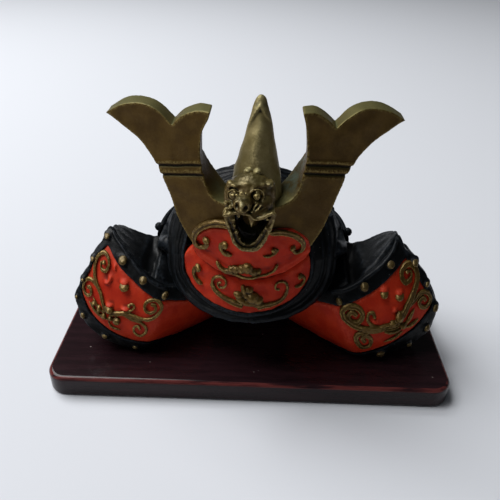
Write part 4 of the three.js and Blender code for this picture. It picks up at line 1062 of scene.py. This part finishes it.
wingRelief = {
    "left": [
        ({"width": 0.90, "ridges": 2, "start": 1.0, "end": 0.75},
         [(32.6, 15.8), (33.1, 17.3), (33.6, 19.1), (34.6, 20.8), (35.3, 22.5), (35.4, 24.4), (34.7, 26.0),
          (33.4, 26.7), (32.3, 26.0), (32.0, 24.7), (32.7, 23.6), (33.8, 23.8)]),
        ({"width": 0.51, "start": 1.0, "end": 1.0, "ball": 0.5}, [(33.8, 23.8), (34.0, 24.9), (33.2, 25.1)]),
        ({"width": 0.72, "ridges": 2, "start": 0.6, "end": 0.9},
         [(33.7, 19.6), (35.1, 20.9), (36.4, 21.5), (37.6, 20.9), (38.1, 19.6), (37.6, 18.4), (36.6, 18.2),
          (36.0, 19.0), (36.4, 20.0), (37.0, 19.7)]),
        ({"width": 1.08, "ridges": 2, "start": 0.9, "end": 0.6},
         [(31.4, 15.5), (29.8, 15.8), (28.2, 16.0), (26.1, 15.8), (24.1, 15.2), (22.1, 15.2)]),
        ({"width": 0.83, "ridges": 2, "start": 1.0, "end": 0.75},
         [(23.0, 15.1), (21.6, 15.4), (20.2, 16.4), (19.6, 17.7), (20.3, 19.0), (21.8, 19.3), (23.1, 18.7),
          (23.3, 17.4), (22.3, 16.6), (21.1, 17.0), (21.0, 18.1), (21.9, 18.4)]),
        ({"width": 0.61, "start": 0.6, "end": 0.9, "ball": 0.42},
         [(29.4, 16.1), (27.5, 16.5), (26.1, 17.1), (25.7, 17.8), (26.3, 18.3), (26.9, 17.9)]),
        ({"width": 0.72, "ridges": 2, "start": 0.8, "end": 0.75},
         [(28.4, 16.0), (26.3, 15.0), (24.4, 14.4), (23.2, 13.2), (23.5, 11.7), (24.7, 10.9), (25.9, 11.7),
          (25.9, 13.1), (24.9, 13.5), (24.6, 12.6)]),
        ({"width": 0.93, "leaf": True}, [(32.0, 14.0), (33.6, 14.4), (35.2, 15.4), (36.6, 17.0)]),
        ({"width": 0.72, "leaf": True}, [(31.9, 13.6), (31.2, 12.3), (29.0, 11.9)]),
        ({"width": 0.80, "leaf": True}, [(33.0, 15.4), (34.6, 16.6), (35.6, 18.3)])],
    "leftLumps": [
        ((31.6, 16.4), (1.15, 1.15, 0.95), 0.0), ((29.9, 14.1), (1.0, 1.1, 0.95), 0.2),
        ((33.0, 14.6), (0.65, 0.8, 0.75), 0.0), ((34.1, 16.0), (0.6, 0.8, 0.85), 0.0),
        ((35.4, 16.9), (0.65, 0.8, 0.55), 0.4), ((31.4, 14.4), (0.6, 0.8, 0.6), 0.0),
        ((28.1, 21.4), (1.2, 1.1, 1.0), 0.0)],
    "right": [
        ({"width": 1.45, "ridges": 3, "start": 1.0, "end": 0.65},
         [(34.2, 16.6), (34.9, 18.1), (36.0, 19.9), (36.9, 21.7), (37.4, 23.4), (36.9, 25.1), (35.4, 26.1),
          (33.9, 25.5), (33.5, 24.2), (34.5, 22.9), (35.8, 23.4)]),
        ({"width": 0.7, "start": 1.0, "end": 1.0, "ball": 0.5}, [(35.8, 23.4), (35.9, 24.6), (34.9, 24.8)]),
        ({"width": 1.0, "ridges": 2, "start": 0.7, "end": 0.9},
         [(35.3, 18.0), (37.0, 19.4), (38.6, 20.4), (40.2, 19.9), (40.9, 18.4), (40.1, 17.2), (38.7, 17.4),
          (38.0, 18.6), (38.9, 19.3), (39.6, 18.6)]),
        ({"width": 1.7, "ridges": 3, "start": 0.8, "end": 0.6},
         [(33.4, 15.0), (31.8, 14.6), (30.2, 14.5), (28.4, 14.3), (26.1, 14.5), (23.8, 15.0)]),
        ({"width": 1.35, "ridges": 2, "start": 1.0, "end": 0.75},
         [(24.6, 14.8), (23.4, 15.2), (21.9, 16.0), (20.6, 17.1), (20.4, 18.5), (21.8, 19.3), (23.8, 19.0),
          (24.8, 17.6), (24.1, 16.2), (22.5, 16.2), (21.7, 17.3), (22.4, 18.2), (23.4, 17.6)]),
        ({"width": 0.9, "start": 0.7, "end": 0.9, "ball": 0.42},
         [(29.4, 14.5), (27.3, 15.2), (26.1, 16.4), (26.2, 17.7), (27.1, 18.0), (27.5, 17.1)]),
        ({"width": 1.25, "ridges": 2, "start": 0.8, "end": 0.75},
         [(29.6, 14.1), (27.8, 14.0), (25.6, 13.8), (23.9, 13.0), (24.0, 11.4), (25.4, 9.6), (27.0, 9.9),
          (27.2, 11.7), (26.1, 12.9), (25.2, 12.2), (25.9, 11.2)]),
        ({"width": 1.2, "leaf": True}, [(33.9, 13.4), (32.3, 13.1), (30.2, 13.2)]),
        ({"width": 0.9, "leaf": True}, [(34.4, 12.8), (32.5, 11.5), (30.3, 10.7)]),
        ({"width": 1.2, "leaf": True}, [(35.0, 14.3), (35.9, 15.8), (36.9, 17.4)]),
        ({"width": 1.0, "leaf": True}, [(35.4, 13.6), (36.6, 14.0), (38.2, 14.9)])],
    "rightLumps": [
        ((33.4, 16.4), (1.15, 1.25, 1.35), -0.3), ((34.5, 14.2), (0.9, 0.9, 0.8), 0.0),
        ((32.0, 15.2), (0.9, 0.8, 0.7), 0.3), ((29.6, 21.4), (1.0, 1.1, 0.9), 0.0),
        ((33.2, 20.5), (1.1, 1.0, 0.95), 0.0)],
}
wingBody = {
    "neck": [(21.0, -0.8, 26.0), (21.0, -3.0, 25.9), (20.8, -5.5, 26.4), (20.2, -7.8, 27.3),
             (19.4, -9.6, 28.3), (18.6, -10.8, 29.2)],
    "neckSize": (1.8, 2.3, 2.1), "neckThins": 0.12,
    "foot": {"across": 22.9, "from": -12.6, "to": 1, "level": 19.9, "climb": 0.25, "size": (2.6, 1.8, 3.0)},
    "swellFrom": (21.5, 16), "swellOver": (1.5, 8), "spread": 1.3, "spreadFrom": 29, "spreadOver": 12,
}
wingBorder = {"cheekTop": [(11.6, 18.4), (15.0, 20.2)], "underside": [(21.0, 5.45), (17.2, 5.45)],
              "cheekEnd": [(9.5, 5.5), (9.4, 14.6)], "lowered": 0.5}


# The body is the CAD one swelled up to its top line, with a soft neck to the bowl and a foot under it.
def makeWingBody(side, name):
    b = wingBody
    bm = fromNode("wing_" + name)
    neck = np.array(b["neck"])
    for t in np.linspace(0, len(neck) - 1, 36):
        x, y, z = (np.interp(t, range(len(neck)), column) for column in neck.T)
        across, deep, up = b["neckSize"]
        lump(bm, (side * x, y, z), (across, deep, up - b["neckThins"] * t))
    foot = b["foot"]
    for y in np.arange(foot["from"], foot["to"], 0.6):
        lump(bm, (side * foot["across"], y, foot["level"] + foot["climb"] * (y + 12)), foot["size"])
    data = cast(bm, 0.35, 8)
    at = points(data)
    across = np.abs(at[:, 0])
    seen = at[:, 2] + 0.57 * (at[:, 1] + 5)  # a slanting height, in which the top line is measured
    spots = np.arange(22, 36.1, 0.5)
    highest = [seen[np.abs(across - spot) < 0.4].max() for spot in spots]
    lift = np.interp(across, *np.array(wingShape[name]["top"]).T) - np.interp(across, spots, highest)
    inFrom, upFrom = b["swellFrom"]
    inOver, upOver = b["swellOver"]
    at[:, 2] += lift * rise(across, inFrom, inOver) * rise(at[:, 2], upFrom, upOver)
    far = rise(across, b["spreadFrom"], b["spreadOver"])
    at[:, 0] += b["spread"] * far * far * (3 - 2 * far)  # the left wing is a little narrower than the right
    setPoints(data, at)
    finishPiece("wing_body_" + name, handMade(data, 0.14, 3.0, 31 + side), "black", ["wing_" + name])


def makeWing(side, name):
    s = wingShape[name]
    lay = lambda data: bent(data, onFace(wingFace, side), side < 0)
    ridge, edge, inner, outer, foot, tail = (
        list(smoothLine(s[part], 0.6)) for part in ("ridge", "edge", "panelTop", "panelEdge", "foot", "tail"))
    makeWingBody(side, name)

    bm = bmesh.new()
    cheek = [*wingBorder["cheekEnd"], *tail[:0:-1]]
    plate(bm, [*inner[:-1], *outer[:-1], *foot, *cheek], 0.1, 1.9)
    for at, size in s["redBumps"]:  # raised in the casting, missed by the gold brush
        boss(bm, wingFace, at, size, 0.25, detail=3)
    data = handMade(lay(cast(bm, 0.26, 5)), 0.12, 2.5, 37 + side)
    finishPiece("wing_red_skin_" + name, data, "red", ["wing_panel_" + name, "cheek_" + name])

    bm = bmesh.new()
    border = [*ridge[:-1], *edge, *wingBorder["underside"], *foot[-2::-1], *outer[-2::-1], *inner[-2::-1],
              *tail[1:], *wingBorder["cheekTop"]]
    plate(bm, border, -0.3, 1.3)
    for x, z in smoothLine(s["ridge"], 0.2):
        boss(bm, wingFace, (x, z), (0.38, 0.4, 0.38), 0.25, detail=1)
    for at, r in s["topStuds"]:
        boss(bm, wingFace, at, (r * 1.45, 0.55, r * 1.45), 0.1)
    for at, r in s["edgeStuds"]:
        boss(bm, wingFace, at, (r * 1.7, 0.75, r * 1.7), 0.1)
    data = cast(bm, 0.2, 4)
    at = points(data)  # the strip under the rim lies a little lower
    at[:, 1] += wingBorder["lowered"] * (1 - rise(at[:, 0], 17.5, 3)) * (at[:, 2] > 13)
    setPoints(data, at)
    data = handMade(lay(data), 0.14, 1.8, 41 + side)
    finishPiece("wing_border_" + name, data, "black", ["top_band_" + name, "edge_band_" + name])

    bm = bmesh.new()
    for at, r in s["topStuds"]:
        boss(bm, wingFace, at, (r, r * 0.85, r), 0.45, detail=3)
    for at, r in s["edgeStuds"]:
        boss(bm, wingFace, at, (r * 1.15, r, r * 1.15), 0.5, detail=3)
    finishPiece("wing_studs_" + name, handMade(lay(cast(bm, 0.12, 2)), 0.08, 0.8, 43), "stud")

    makeRelief("wing_scrolls_" + name, wingFace, wingRelief[name], wingRelief[name + "Lumps"],
               ["wing_vines_" + name], side, 47 + side)


makeWing(1, "right")
makeWing(-1, "left")
print("wings ready")
